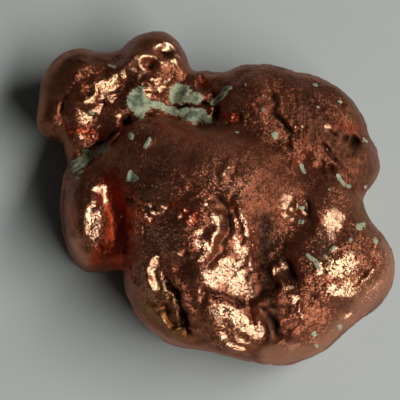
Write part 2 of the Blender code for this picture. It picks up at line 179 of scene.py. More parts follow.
LUMPS = [
    Lump("body", at=(0.6, -1.6), height=7.0, radii=(10.9, 9.1, 8.6), turn=0, blend=0.0),
    Lump("front_left", at=(-1.6, -8.7), height=6.6, radii=(8.2, 8.3, 7.8), turn=-8, blend=3.0),
    Lump("keel", at=(6.6, -12.8), height=6.0, radii=(8.0, 5.9, 6.8), turn=-4, blend=3.0),
    Lump("front_right", at=(13.5, -7.9), height=6.6, radii=(6.6, 6.2, 6.6), turn=-18, blend=3.0),
    Lump("hip", at=(12.4, -1.2), height=6.6, radii=(4.2, 4.4, 6.4), turn=0, blend=3.0),
    Lump("shoulder", at=(10.1, 6.7), height=6.4, radii=(7.5, 6.8, 6.8), turn=-30, blend=3.6),
    Lump("rear", at=(4.8, 9.5), height=6.2, radii=(4.8, 5.4, 6.6), turn=0, blend=3.0),
    Lump("knob", at=(15.5, 3.4), height=5.6, radii=(3.3, 3.2, 5.2), turn=0, blend=1.4),
    Lump("saddle", at=(-1.0, 9.5), height=5.0, radii=(4.2, 4.7, 5.0), turn=0, blend=2.0),
    Lump("brow", at=(-7.0, 3.3), height=6.6, radii=(5.6, 5.6, 6.4), turn=20, blend=2.5),
    Lump("neck", at=(-9.2, 8.6), height=5.0, radii=(4.9, 4.9, 5.0), turn=0, blend=1.5),
    Lump("head_left", at=(-14.6, 11.5), height=5.4, radii=(4.4, 5.2, 5.0), turn=20, blend=1.4),
    Lump("head_outer", at=(-16.2, 10.7), height=4.9, radii=(3.6, 4.6, 4.5), turn=0, blend=1.0),
    Lump("chin", at=(-17.9, 8.6), height=4.9, radii=(2.0, 2.2, 4.0), turn=0, blend=1.0),
    Lump("throat", at=(-15.0, 7.1), height=4.6, radii=(2.0, 2.9, 4.0), turn=0, blend=1.2),
    Lump("head_top", at=(-6.8, 14.0), height=5.8, radii=(4.2, 4.7, 5.4), turn=0, blend=1.4),
    Lump("head_web", at=(-11.2, 13.3), height=5.2, radii=(3.3, 3.1, 4.8), turn=0, blend=1.2),
    Lump("paw", at=(-13.8, -2.7), height=5.4, radii=(2.8, 5.6, 5.2), turn=6, blend=1.2),
    Lump("paw_under", at=(-14.4, -2.3), height=3.6, radii=(2.8, 6.4, 3.6), turn=6, blend=0.6),
    Lump("wrist", at=(-11.7, 1.3), height=5.2, radii=(2.9, 2.9, 5.0), turn=0, blend=1.8),
    Lump("valley", at=(-11.1, -3.2), height=4.4, radii=(2.9, 5.2, 4.4), turn=0, blend=1.8),
    Lump("gully", at=(-13.0, 4.2), height=3.8, radii=(3.3, 2.9, 3.8), turn=0, blend=1.5),
]

SWELLS = [
    # the head
    Swell("crest_crater", (-12.3, 10.4), (0.5, 0.44), -0.4, 30),
    Swell("crest_left", (-14.8, 10.6), (1.44, 1.89), 0.75, 20),
    Swell("crest_end", (-10.6, 11.7), (1.33, 1.33), -0.5),
    Swell("crest_bar", (-10.4, 14.4), (1.0, 0.67), 0.8, 35),
    Swell("arch_saddle", (-9.1, 15.6), (1.56, 1.22), 1.3, 35),
    Swell("ring_crater", (-6.8, 14.5), (0.67, 0.61), -0.85),
    Swell("top_pit", (-5.2, 16.2), (0.78, 0.67), -0.9, -25),
    Swell("head_notch", (-11.1, 15.5), (1.0, 1.56), -0.8),
    Swell("bank_bead_a", (-8.6, 12.6), (0.5, 0.47), 0.4),
    Swell("bank_bead_b", (-7.7, 11.7), (0.47, 0.5), 0.4),
    Swell("bank_bead_c", (-7.0, 12.9), (0.5, 0.44), 0.4),
    Swell("bank_bead_d", (-6.1, 11.9), (0.53, 0.49), 0.45),
    Swell("bank_bead_e", (-5.2, 12.8), (0.49, 0.51), 0.35),
    Swell("bank_bead_f", (-9.4, 11.8), (0.47, 0.44), 0.35),
    Swell("bead_bank", (-7.0, 12.2), (2.22, 1.11), 0.3, -5),
    Swell("bead_bank_end", (-3.2, 13.8), (0.89, 0.67), 0.35),
    Swell("cheek_hollow", (-16.3, 11.7), (0.67, 1.78), -0.3, -25),
    Swell("chin_pit", (-18.8, 7.8), (0.29, 0.51), -0.5),
    Swell("band_pit", (-17.7, 10.4), (0.33, 0.29), -0.45),
    Swell("crescent_pit", (-16.9, 9.8), (0.29, 0.44), -0.5),
    Swell("throat_bead_a", (-16.3, 6.9), (0.5, 0.44), 0.35),
    Swell("throat_bead_b", (-15.0, 6.5), (0.5, 0.56), 0.4),
    Swell("throat_bead_c", (-13.7, 6.4), (0.47, 0.44), 0.32),
    Swell("throat_bead_d", (-13.2, 7.7), (0.56, 0.4), 0.3, 20),
    Swell("throat_bead_e", (-14.8, 8.2), (0.56, 0.44), 0.25, 20),
    # the shoulder
    Swell("shoulder_knots", (4.8, 10.4), (1.67, 2.22), 0.4, 10),
    Swell("red_bead", (2.0, 9.1), (0.5, 0.5), 0.4),
    Swell("twin_pit_left", (14.9, 6.2), (0.38, 0.36), -0.9),
    Swell("twin_pit_right", (15.9, 5.7), (0.47, 0.58), -1.6, 20),
    Swell("rim_pit", (14.3, 10.2), (0.31, 0.44), -0.5, 30),
    Swell("knob_top", (16.6, 3.6), (1.33, 1.67), 0.3),
    Swell("ochre_pit", (13.4, 6.8), (0.39, 0.33), -0.35),
    # the plateau
    Swell("glint_pit", (9.7, 2.7), (0.56, 0.83), -0.75, 30),
    Swell("green_pit", (-8.8, 2.3), (0.67, 0.44), -0.5, 20),
    Swell("plateau_left", (-7.0, 4.2), (2.44, 2.89), 0.3),
    # the front
    *bead_row("mound_bead", (0.38, 0.36), 0.6, [(-7.9, -0.4), (-7.1, -0.9), (-6.6, -1.7), (-7.4, -2.1),
        (-5.9, -1.1)]),
    *bead_row("red_bead", (0.38, 0.36), 0.5, [(-4.7, -1.7), (-3.9, -2.2), (-3.2, -1.5), (-2.4, -2.4)]),
    Swell("brow_bead_a", (-4.1, -6.4), (0.36, 0.33), 0.3),
    Swell("brow_bead_b", (-3.2, -6.8), (0.38, 0.33), 0.3),
    Swell("brow_bead_c", (-2.2, -7.2), (0.38, 0.33), 0.3),
    Swell("speckled_mound", (-7.8, -1.6), (2.0, 1.89), 1.15),
    Swell("mound_pit", (-8.9, -0.6), (0.51, 0.89), -0.75),
    Swell("red_knots", (-3.4, -1.6), (2.0, 1.0), 0.35, -10),
    Swell("thumb", (-3.1, -4.4), (1.89, 2.33), 1.25),
    Swell("under_arc_hollow", (-3.9, -8.4), (1.22, 0.78), -0.5, -10),
    Swell("front_blob", (-1.1, -8.8), (2.22, 1.67), 0.8, 10),
    Swell("facet_rise", (-1.0, -13.6), (4.0, 3.56), 1.2),
    Swell("facet_fall", (5.4, -16.3), (3.11, 2.89), -0.6),
    Swell("facet_step", (-2.3, -13.8), (1.33, 2.89), -0.7),
    Swell("facet_shelf", (1.4, -17.2), (3.78, 2.22), 1.7),
    Swell("swirl_hollow", (7.1, -13.4), (1.33, 2.44), -0.5),
    Swell("cheek_bank", (-7.7, -8.1), (1.44, 2.89), 1.0, 4),
    Swell("slot_mouth", (-2.8, -14.2), (0.5, 0.89), -0.9, 25),
    Swell("middle_hollow", (5.7, -5.2), (1.89, 3.11), -0.6, 15),
    Swell("hip_knob", (11.6, -1.7), (2.33, 2.33), 1.15),
    Swell("speck_mound", (9.0, -1.6), (1.67, 1.0), 0.45),
    Swell("speck_pit", (10.3, -1.4), (0.4, 1.0), -0.7, 10),
    Swell("hip_fill", (9.3, -7.2), (1.78, 2.22), 0.7),
    Swell("thumbprint", (8.2, -8.4), (0.56, 1.33), -0.9, 10),
    Swell("palm", (12.6, -7.8), (2.89, 2.44), 0.6),
    Swell("palm_heel", (13.7, -10.7), (2.67, 1.11), 0.8, -8),
    Swell("palm_island", (13.8, -6.3), (0.78, 0.67), -0.3),
    Swell("palm_pit_a", (16.4, -8.8), (0.31, 0.38), -0.4),
    Swell("palm_pit_b", (15.7, -9.7), (0.33, 0.29), -0.35),
]

FOLDS = [
    # the head and the creases around it
    Fold("crest", 1.22, 0.5, [(-14.4, 9.5), (-13.9, 10.7), (-12.9, 11.7), (-11.6, 12.6), (-10.2, 13.7),
        (-8.9, 14.7)]),
    Fold("ring_rim", 0.36, 0.3, [(-7.9, 13.8), (-8.1, 14.7), (-7.7, 15.5), (-6.8, 15.7), (-5.9, 15.3),
        (-5.8, 14.3)]),
    Fold("top_pit_rim", 0.44, 0.22, [(-6.3, 17.4), (-5.3, 17.5), (-4.4, 17.1), (-3.9, 16.3), (-3.9, 15.4)]),
    Fold("band_fleck", 0.22, 0.25, [(-15.0, 15.1), (-14.4, 15.3), (-13.9, 15.3)]),
    Fold("collar_crease", 0.56, -1.0, [(-15.9, 4.1), (-14.3, 4.4), (-12.8, 5.1), (-11.4, 5.8), (-10.4, 6.7),
        (-9.6, 7.8), (-9.1, 9.1)]),
    Fold("crust_crease", 0.67, -0.7, [(-9.1, 9.1), (-7.6, 8.5), (-6.1, 9.1), (-4.6, 8.9), (-3.0, 7.8),
        (-1.0, 7.5), (0.3, 8.4)]),
    Fold("nape_crease", 0.44, -1.1, [(0.3, 8.4), (0.4, 9.7), (0.0, 11.1), (-0.8, 12.4), (-1.2, 13.7)]),
    Fold("island_gap", 0.28, -0.6, [(-3.8, 10.2), (-2.8, 9.9), (-1.4, 10.1), (-0.3, 10.4)]),
    # the shoulder
    Fold("shoulder_crack", 0.26, -0.5, [(5.9, 13.3), (6.6, 11.8), (6.9, 10.4), (6.8, 9.4), (7.3, 8.5),
        (8.1, 7.5), (8.3, 6.5), (8.2, 5.7), (8.8, 4.5)]),
    Fold("knob_crease", 0.44, -0.6, [(17.0, -0.2), (15.7, 0.8), (14.4, 1.6), (13.4, 2.5), (12.7, 3.6)]),
    Fold("scratch_pair", 0.24, -0.4, [(12.1, 5.9), (12.7, 5.3), (13.3, 4.6), (14.0, 3.7)]),
    Fold("shoulder_hip_fold", 0.67, -0.45, [(12.7, 3.6), (11.4, 3.3), (10.2, 3.8), (9.2, 5.1)]),
    # the plateau
    Fold("glint_lip", 0.29, 0.3, [(8.7, 3.8), (8.8, 2.8), (9.4, 1.7)]),
    Fold("knuckle", 0.4, 0.38, [(0.3, 2.3), (1.0, 2.7), (1.7, 3.4), (2.2, 4.2)]),
    Fold("knuckle_groove", 0.33, -0.28, [(1.6, 1.8), (2.3, 2.7), (2.8, 3.9)]),
    Fold("plateau_rib", 0.33, 0.3, [(-4.0, 2.3), (-3.4, 1.4), (-2.9, 0.5)]),
    # the paw and the red valley beside it
    Fold("paw_shell_crack", 0.22, -0.5, [(-16.3, -0.7), (-16.6, -2.1), (-16.4, -3.8), (-16.1, -5.4)]),
    Fold("valley_scratch", 0.2, -0.35, [(-13.2, -4.8), (-12.6, -5.6), (-11.8, -6.5)]),
    Fold("valley_wall", 0.44, -0.55, [(-9.6, -1.6), (-9.7, -3.8), (-9.4, -5.8), (-9.8, -7.8)]),
    Fold("valley_lip", 0.24, 0.3, [(-9.4, -3.4), (-9.1, -4.5), (-9.2, -5.8), (-9.7, -7.2)]),
    # the front
    Fold("brow_edge", 0.56, 0.35, [(-8.6, -2.7), (-8.4, -4.7), (-8.8, -6.5), (-9.1, -8.3), (-8.7, -10.3)]),
    Fold("thumb_groove", 0.5, -0.45, [(-0.2, 0.4), (0.8, -0.8), (1.4, -2.5), (1.4, -4.3), (0.9, -5.8),
        (0.0, -7.3), (-1.4, -8.2)]),
    Fold("brow_arc", 0.44, 0.4, [(-5.3, -6.5), (-4.8, -5.8), (-3.7, -6.3), (-2.6, -7.2)]),
    Fold("facet_top_groove", 0.4, -0.45, [(-1.7, -11.1), (-0.1, -10.5), (1.4, -10.9), (3.0, -11.4),
        (4.1, -11.7)]),
    Fold("slot", 0.27, -1.5, [(-5.2, -8.2), (-4.8, -9.5), (-4.3, -10.6), (-3.8, -11.8), (-3.1, -13.2),
        (-2.6, -14.8)]),
    Fold("eye_recess", 0.67, -0.6, [(-5.6, -11.9), (-4.9, -12.8), (-4.2, -13.7), (-3.7, -14.5)]),
    Fold("eye_lip", 0.44, 0.45, [(-7.0, -12.1), (-6.3, -12.8), (-5.4, -13.6), (-4.6, -14.5),
        (-3.7, -15.3)]),
    Fold("eye_lamella", 0.2, 0.35, [(-4.6, -11.3), (-3.8, -12.4), (-3.1, -13.5), (-2.7, -14.5)]),
    Fold("facet_lip", 0.5, 0.35, [(-0.8, -15.5), (0.8, -16.5), (2.7, -17.1), (5.0, -17.4)]),
    Fold("ledge_gap", 0.24, -0.6, [(4.0, -11.3), (4.1, -12.7), (4.2, -14.1)]),
    Fold("ledge_branch", 0.24, -0.55, [(2.1, -1.1), (2.4, -2.2), (2.9, -3.5), (3.1, -4.5)]),
    Fold("ledge_foot", 0.67, -0.45, [(3.0, -0.5), (4.0, -2.1), (4.6, -3.8), (4.7, -5.8), (4.6, -7.8),
        (5.0, -9.5), (5.7, -11.2), (6.2, -12.8), (6.6, -14.7), (6.1, -16.6)]),
    Fold("swirl_rim", 0.31, 0.32, [(5.4, -11.1), (6.3, -12.3), (7.2, -13.6), (7.7, -14.9), (7.4, -16.2),
        (6.6, -17.1)]),
    Fold("thumbprint_lip", 0.4, 0.75, [(6.8, -7.2), (6.9, -8.5), (7.3, -9.9), (8.0, -11.1)]),
    Fold("front_nick", 0.28, 0.3, [(9.0, -11.3), (9.4, -12.3), (9.7, -13.5)]),
    Fold("palm_edge", 0.33, 0.35, [(15.1, -10.2), (16.2, -9.7), (17.2, -8.6), (17.8, -7.3)]),
    Fold("palm_fold", 0.4, -0.35, [(19.1, -3.8), (18.1, -4.7), (17.2, -5.8), (17.7, -7.2)]),
    Fold("rim_notch", 0.44, -0.45, [(16.1, -13.4), (15.1, -12.7), (13.9, -12.3)]),
]

LEDGES = [
    Ledge("ledge_top", 0.44, 1.44, 0.6, [(1.8, -0.4), (3.0, -1.5), (3.7, -2.9), (3.9, -4.7), (3.7, -5.8)]),
    Ledge("ledge_waist", 0.33, 1.11, 0.45, [(3.3, -4.5), (3.4, -6.1), (3.7, -7.6), (4.0, -8.9)]),
    Ledge("ledge_blob", 0.44, 1.44, 0.6, [(3.7, -8.3), (4.3, -9.5), (4.9, -10.9), (5.0, -12.1)]),
    Ledge("ledge_front", 0.39, 4.44, 0.7, [(4.3, -11.2), (4.9, -12.4), (5.6, -13.9), (5.8, -15.6),
        (5.0, -17.3)]),
    Ledge("head_band", 0.22, 1.11, 0.3, [(-16.9, 8.6), (-16.8, 10.4), (-16.2, 11.8), (-15.4, 13.2),
        (-14.3, 14.3), (-12.8, 15.2)]),
    Ledge("thumb_edge", 0.44, 1.33, 0.6, [(-3.2, -7.8), (-1.8, -7.6), (-0.6, -6.8), (0.2, -5.5),
        (0.7, -3.8), (0.3, -2.5), (-0.4, -1.2), (-1.1, 0.1)]),
    Ledge("paw_edge", 0.56, 1.33, 0.65, [(-14.3, -5.6), (-14.0, -3.4), (-13.2, -1.5), (-12.7, -0.1),
        (-12.7, 1.9)]),
    Ledge("cheek_slope", 0.56, 1.56, 0.6, [(-5.7, -11.2), (-6.4, -9.6), (-6.8, -8.1), (-6.4, -6.7),
        (-5.9, -5.5)]),
    Ledge("slot_wall", 0.19, 0.89, 0.5, [(-5.2, -7.6), (-4.8, -9.4), (-4.2, -10.8), (-3.6, -12.3),
        (-2.9, -13.6), (-2.3, -15.4)]),
]

# Places on the broad face where the metal differs: width, strength and a path. A stain is strongest
# along its path and fades over its width.
STAINS = {
    # Painted highlights: the bright stains lie where the key light's reflections fall, and paint the metal a
    # lighter copper there; they also make it glossier.
    "bright": [
        (1.11, 1.2, [(-13.8, 9.5), (-13.3, 10.5), (-12.7, 11.3), (-11.8, 11.9)]),
        (0.56, 0.9, [(-13.0, 9.4), (-11.9, 9.9)]), (0.67, 0.8, [(-11.7, 12.6), (-10.6, 13.4)]),
        (0.78, 1.6, [(-10.4, 13.7), (-9.1, 14.6)]),
        (0.78, 1.4, [(-8.0, 13.9), (-7.7, 15.2), (-6.8, 15.6), (-5.9, 15.2)]),
        (0.78, 1.4, [(-6.2, 17.1), (-5.2, 17.2), (-4.3, 16.6), (-3.9, 15.5)]),
        (0.33, 0.8, [(-5.2, 15.3), (-4.7, 14.9)]), (0.49, 1.3, [(-8.3, 12.5)]), (0.49, 1.3, [(-7.4, 11.6)]),
        (0.49, 1.3, [(-6.8, 12.8)]), (0.53, 1.3, [(-5.9, 11.8)]), (0.44, 1.1, [(-9.2, 11.7)]),
        (0.44, 1.1, [(-5.1, 12.7)]), (0.78, 0.7, [(-11.2, 11.3), (-10.3, 12.2)]),
        (0.44, 0.6, [(-3.3, 13.9)]), (0.33, 1.0, [(-16.3, 6.9)]), (0.38, 1.0, [(-15.0, 6.5)]),
        (0.33, 0.9, [(-13.8, 6.4)]), (0.38, 0.7, [(-13.2, 7.7)]), (0.29, 0.9, [(-10.3, 8.8)]),
        (0.33, 0.6, [(-9.1, 7.6)]),
        (0.89, 1.4, [(-12.8, 1.5), (-12.7, 0.2), (-13.1, -1.4), (-13.6, -2.9), (-13.9, -4.5)]),
        (1.0, 0.35, [(-14.8, -5.8), (-14.3, -7.2)]), (0.27, 1.0, [(-2.2, -2.5)]),
        (0.5, 1.2, [(-0.8, -0.4), (0.0, -1.6), (0.4, -2.9)]),
        (0.44, 1.0, [(0.4, -3.8), (0.1, -5.2), (-0.6, -6.3), (-2.3, -7.2)]),
        (0.78, 1.0, [(-1.2, -4.5), (-1.2, -6.1)]), (0.29, 0.9, [(-3.9, -6.5)]), (0.29, 0.9, [(-2.9, -6.9)]),
        (0.29, 0.9, [(-1.9, -7.2)]), (0.33, 0.5, [(-4.6, -5.9), (-3.7, -6.5)]), (0.33, 0.6, [(-6.0, -3.6)]),
        (1.11, 1.3, [(-5.8, -6.3), (-6.1, -7.8), (-6.2, -9.3), (-5.9, -10.3)]),
        (0.5, 0.85, [(-5.3, -10.6), (-4.8, -11.3)]),
        (0.22, 0.7, [(-6.1, -12.9), (-5.3, -13.7), (-4.7, -14.5)]),
        (1.11, 1.0, [(-1.0, -9.6), (0.1, -8.8), (1.7, -7.8), (2.6, -9.6)]),
        (1.0, 1.0, [(-0.1, -12.7), (1.7, -12.7), (3.0, -13.6), (4.1, -14.9)]),
        (1.11, 1.0, [(-0.2, -14.1), (1.2, -15.5), (3.4, -16.3)]),
        (0.33, 1.3, [(2.3, -16.9), (3.7, -17.5), (5.0, -17.7)]), (0.56, 1.0, [(4.3, -14.8), (5.3, -15.2)]),
        (0.38, 1.0, [(2.0, -0.9), (2.9, -1.6), (3.4, -2.7), (3.7, -4.5)]),
        (0.33, 1.0, [(2.1, -2.2), (2.6, -3.3)]), (0.33, 0.6, [(2.1, -4.5), (2.7, -5.8), (2.8, -7.2)]),
        (0.31, 0.8, [(3.3, -5.8), (3.4, -6.7)]), (0.24, 0.9, [(3.8, -7.2), (3.9, -8.3)]),
        (0.56, 1.0, [(3.0, -9.1), (3.8, -10.1), (4.4, -11.4)]), (0.31, 0.8, [(4.6, -12.7), (4.9, -13.6)]),
        (1.11, 1.2, [(13.4, -2.1), (13.0, -3.6), (12.4, -5.1)]), (0.89, 1.1, [(12.2, -4.7), (11.6, -6.5)]),
        (0.67, 0.8, [(11.0, -7.2), (11.7, -8.3)]),
        (0.89, 1.1, [(8.3, -0.9), (9.4, -1.1), (9.2, -2.2), (8.1, -1.8)]),
        (1.0, 0.95, [(12.4, -7.2), (13.6, -8.1), (14.6, -7.3)]),
        (0.89, 0.9, [(13.1, -10.4), (15.2, -10.6)]),
        (0.56, 0.7, [(15.8, -9.6), (17.0, -9.2), (17.6, -7.7)]), (0.44, 0.7, [(15.2, -6.6)]),
        (0.44, 1.7, [(7.2, -7.8), (7.4, -8.9), (7.9, -10.3)]), (0.33, 1.4, [(8.2, -10.5), (8.6, -11.4)]),
        (0.27, 0.9, [(9.4, -12.1), (9.6, -13.4)]), (0.44, 0.95, [(0.7, 2.4), (1.7, 3.3)]),
        (0.33, 0.6, [(-3.7, 1.5)]), (0.36, 0.9, [(2.0, 8.9)]), (0.33, 0.7, [(0.7, 9.3), (0.4, 8.5)]),
        (0.38, 0.6, [(3.4, 8.9), (4.1, 8.5)]), (0.27, 0.7, [(4.7, 13.3)]),
        (0.27, 0.6, [(7.0, 12.4), (7.6, 12.3)]), (0.27, 0.6, [(8.2, 11.2)]), (0.27, 0.6, [(8.9, 10.5)]),
        (0.33, 0.6, [(8.7, 7.4), (9.7, 7.4)]), (0.33, 0.8, [(8.8, 6.5)]), (0.33, 0.8, [(12.6, 7.4)]),
        (0.27, 0.6, [(12.7, 5.1)]), (1.33, 0.28, [(13.0, -8.1), (15.4, -9.7)]),
        (1.0, 1.0, [(19.1, -4.5), (19.8, -7.2), (19.1, -10.3), (17.0, -12.1), (14.6, -13.8), (12.6, -16.4),
            (9.4, -17.8)]),
        (0.78, 0.3, [(-7.0, -15.8), (-3.7, -17.2)]), (0.67, 0.3, [(17.7, 5.3), (18.1, 2.8), (17.2, 0.8)]),
        (1.33, 0.6, [(18.9, -5.8), (19.2, -8.6), (18.1, -10.9)]),
        (1.22, 1.0, [(-7.2, -0.7), (-5.9, -1.8), (-2.8, -1.8)]), (0.33, 1.5, [(-7.3, -1.1), (-6.3, -1.7)]),
        (0.29, 1.5, [(-7.0, -2.4)]), (0.33, 1.5, [(-5.8, -0.9)]), (0.29, 1.5, [(-7.9, -0.5)]),
    ],
    # Painted sheen: lighter copper where the right and bottom rims reflect the lit floor, and on faces beside
    # the highlights; it is not masked by facing the key light.
    "painted_sheen": [
        (0.67, 0.9, [(-9.7, 14.2), (-8.4, 14.8), (-7.4, 15.7), (-6.6, 15.9)]),
        (0.44, 0.7, [(-8.3, 13.3), (-7.0, 13.7)]),
        (1.33, 1.0, [(19.4, -4.7), (19.7, -7.2), (19.0, -9.7), (17.1, -11.6), (14.7, -13.5), (12.6, -15.9),
            (9.4, -17.2), (6.3, -17.6)]),
        (0.89, 0.8, [(-7.2, -14.9), (-3.7, -16.9), (-0.1, -17.7)]),
        (0.89, 0.7, [(-15.2, -5.4), (-14.6, -6.9), (-13.0, -7.6)]),
        (1.33, 0.6, [(13.1, -2.1), (11.7, -6.1)]), (1.56, 0.5, [(-0.9, -8.1), (2.1, -10.3)]),
        (1.78, 0.45, [(0.2, 2.5), (3.0, 0.8)]), (1.33, 0.5, [(17.4, 5.3), (18.1, 2.8)]),
        (1.78, 0.3, [(13.0, -7.2), (15.8, -9.7)]),
    ],
    "red": [
        (1.33, 0.5, [(-6.1, 8.2), (-4.1, 7.2), (-1.2, 6.6)]),
        (1.0, 0.45, [(-12.1, 13.9), (-14.1, 12.6), (-15.2, 10.8)]),
        (1.33, 0.35, [(4.1, 13.7), (5.4, 12.2)]), (1.56, 0.3, [(-2.6, 0.8), (-7.0, 1.9)]),
        (1.67, 1.1, [(-11.2, 1.3), (-10.9, -0.8), (-10.7, -3.1), (-10.9, -5.8), (-10.3, -8.3)]),
        (1.0, 0.9, [(-12.6, -6.1), (-13.0, -8.3)]), (1.11, 0.75, [(-8.3, -1.8), (-6.8, -2.7)]),
        (1.11, 1.0, [(-4.1, -1.2), (-2.1, -2.5)]), (0.67, 0.6, [(-5.9, -1.9), (-5.0, -3.6)]),
        (1.33, 0.35, [(-7.0, 3.6), (-8.1, 5.3)]), (1.11, 0.6, [(13.4, 7.9), (15.7, 7.3)]),
        (1.78, 0.4, [(4.1, 11.3), (5.4, 9.5)]), (0.78, 0.8, [(1.7, 9.1), (2.6, 8.7)]),
        (0.78, 0.4, [(4.2, -3.6), (4.7, -6.9), (5.4, -10.3), (6.2, -13.4)]),
        (1.0, 0.25, [(6.1, -13.8), (6.3, -15.8)]), (0.89, 0.4, [(-4.6, -7.8), (-3.4, -8.7)]),
        (1.11, 0.35, [(9.7, 5.3), (12.4, 5.3)]), (1.11, 0.75, [(-15.9, 7.5), (-13.4, 6.6)]),
    ],
    "brass": [
        (1.33, 0.5, [(-14.3, 9.5), (-13.1, 11.1), (-10.6, 13.3), (-8.1, 14.8)]),
        (1.0, 0.45, [(-8.1, 15.1), (-6.1, 16.2), (-4.1, 16.8)]),
        (0.89, 0.4, [(-17.9, 11.1), (-16.8, 13.9), (-13.7, 15.5)]),
        (1.11, 0.3, [(-8.1, 12.2), (-5.9, 12.6)]),
        (1.22, 1.1, [(-6.8, -12.4), (-5.6, -13.4), (-4.4, -14.4), (-3.3, -15.1)]),
        (0.44, 0.8, [(-4.6, -11.9), (-3.2, -14.2)]), (0.78, 0.8, [(-5.4, -10.5), (-4.7, -11.5)]),
        (1.0, 0.6, [(14.7, 10.5), (15.6, 8.8)]), (1.11, 0.5, [(15.8, 4.7), (16.9, 2.8)]),
        (1.22, 0.7, [(16.0, -1.8), (18.6, -4.5)]),
        (1.33, 0.55, [(-14.3, 15.7), (-16.8, 13.7), (-18.3, 10.8), (-18.6, 8.6)]),
        (1.44, 0.45, [(-7.0, 16.2), (-4.6, 14.8), (-3.6, 13.8)]),
        (1.56, 0.35, [(-13.9, 9.9), (-11.4, 12.2), (-9.8, 13.3)]),
        (1.56, 0.45, [(-8.1, 12.4), (-5.3, 11.7)]), (1.11, 0.5, [(8.0, -1.6), (9.7, -1.9)]),
        (1.78, 0.55, [(12.8, -7.2), (15.4, -9.8)]), (1.0, 0.35, [(7.7, -4.7), (6.3, -5.8)]),
        (0.89, 0.35, [(7.8, -15.2), (9.2, -14.7)]), (0.89, 0.3, [(12.1, 6.9)]),
    ],
    "crust": [
        (1.28, 1.15, [(-8.4, 10.9), (-8.2, 10.1)]), (0.56, 1.0, [(-8.0, 8.8)]),
        (0.5, 0.95, [(-7.2, 10.4), (-5.4, 10.1), (-3.9, 9.4)]), (1.17, 1.15, [(-4.0, 11.5), (-3.2, 11.4)]),
        (0.83, 1.05, [(-1.7, 10.8)]), (1.0, 1.15, [(-2.8, 8.9), (-1.6, 8.8)]), (0.56, 1.0, [(-0.7, 8.4)]),
        (0.42, 1.05, [(0.1, 10.5), (0.8, 11.2), (1.6, 12.1)]), (1.0, 0.85, [(-15.2, 3.3), (-14.3, 4.4)]),
        (0.78, 0.8, [(-12.9, 4.8), (-11.7, 5.4)]), (0.56, 0.7, [(-15.3, 2.2)]), (0.29, 1.0, [(-13.6, 9.5)]),
        (0.29, 1.0, [(-11.7, 14.7), (-11.2, 14.5)]), (0.44, 0.9, [(-8.9, 6.7)]),
        (0.33, 0.95, [(-7.4, 5.3), (-6.9, 6.1)]), (0.51, 0.85, [(-9.0, 2.4), (-8.4, 2.1)]),
        (0.33, 1.0, [(6.8, 6.6)]), (0.33, 0.9, [(5.8, 9.5)]), (0.33, 0.8, [(2.7, 6.8)]),
        (0.33, 1.0, [(11.6, 12.2)]), (0.27, 0.9, [(11.8, 9.6)]), (0.22, 0.9, [(14.2, 10.3)]),
        (0.29, 1.0, [(17.0, 5.9)]), (0.24, 1.0, [(13.9, 2.2), (14.2, 1.6), (14.9, 0.9)]),
        (0.29, 0.8, [(17.1, 1.3)]), (0.36, 0.95, [(9.7, 3.1), (9.9, 2.3)]), (0.36, 1.0, [(9.7, -1.5)]),
        (0.33, 0.9, [(9.6, -3.1)]), (0.38, 0.9, [(12.9, -5.7)]), (0.33, 0.85, [(12.1, -6.6)]),
        (0.36, 0.85, [(15.0, -6.3)]), (0.33, 0.85, [(15.1, -4.9)]),
        (0.31, 0.9, [(10.3, -6.5), (11.1, -7.2), (11.6, -8.1)]), (0.71, 0.9, [(16.2, -3.4)]),
        (0.4, 0.8, [(17.9, -5.1)]), (0.38, 0.9, [(10.6, -15.1)]), (0.31, 0.8, [(10.8, -16.3)]),
        (0.38, 0.9, [(14.2, -14.1)]), (0.33, 0.8, [(3.3, 12.3)]), (0.27, 0.8, [(12.7, 0.7)]),
    ],
    # Darker metal: partly dark tarnish and grime, partly painted shade at the bottoms of grooves and hollows
    # and on the lit shoulder.
    "dark": [
        (1.0, 0.4, [(-7.0, 3.5), (-4.6, 1.7)]), (0.89, 0.35, [(-2.3, 4.2), (0.3, 5.1)]),
        (1.11, 0.3, [(2.1, 3.1), (4.8, 1.7)]), (0.78, 0.35, [(7.0, 8.6), (9.7, 9.1)]),
        (0.44, 0.85, [(0.3, -0.1), (1.1, -1.6), (1.4, -3.4)]),
        (0.44, 0.45, [(1.3, -4.3), (0.8, -6.1), (-0.2, -7.6)]),
        (0.38, 1.0, [(-5.0, -9.1), (-4.2, -10.8), (-3.2, -12.9), (-2.6, -14.7)]),
        (0.51, 0.95, [(8.1, -7.2), (8.4, -9.2)]), (1.11, 0.5, [(-14.3, 4.4), (-12.1, 5.3)]),
        (0.56, 0.8, [(-8.9, -0.6)]), (1.44, 0.88, [(5.7, -2.7), (5.9, -6.5), (6.1, -10.3), (6.4, -14.7)]),
        (1.78, 0.6, [(7.4, -4.7), (7.4, -7.2), (8.8, -11.4)]),
        (3.11, 0.75, [(10.8, 9.5), (13.9, 5.5), (16.6, 3.6)]), (1.78, 0.35, [(4.1, -0.3), (8.0, 0.3)]),
        (2.22, 0.25, [(9.7, -6.4), (8.8, -12.5)]), (1.78, 0.4, [(9.7, -13.6), (12.4, -11.4)]),
        (0.49, 0.9, [(10.2, -0.9), (10.3, -2.6)]), (0.56, 0.5, [(-1.3, -11.4), (-1.0, -14.7)]),
        (0.51, 0.6, [(-1.0, -10.5), (1.0, -10.6), (3.2, -11.4)]),
        (0.36, 0.9, [(-16.7, 0.3), (-16.7, -4.3)]), (0.38, 0.9, [(-16.6, 11.1), (-16.9, 9.5)]),
        (0.38, 0.85, [(-3.7, 10.1), (-1.4, 9.8)]), (0.56, 0.75, [(0.1, 11.5), (-0.7, 9.9)]),
        (0.38, 0.7, [(6.6, 11.4), (6.9, 9.5), (8.2, 6.6)]),
        (0.44, 0.7, [(-4.6, -12.7), (-3.8, -13.6), (-3.3, -14.5)]),
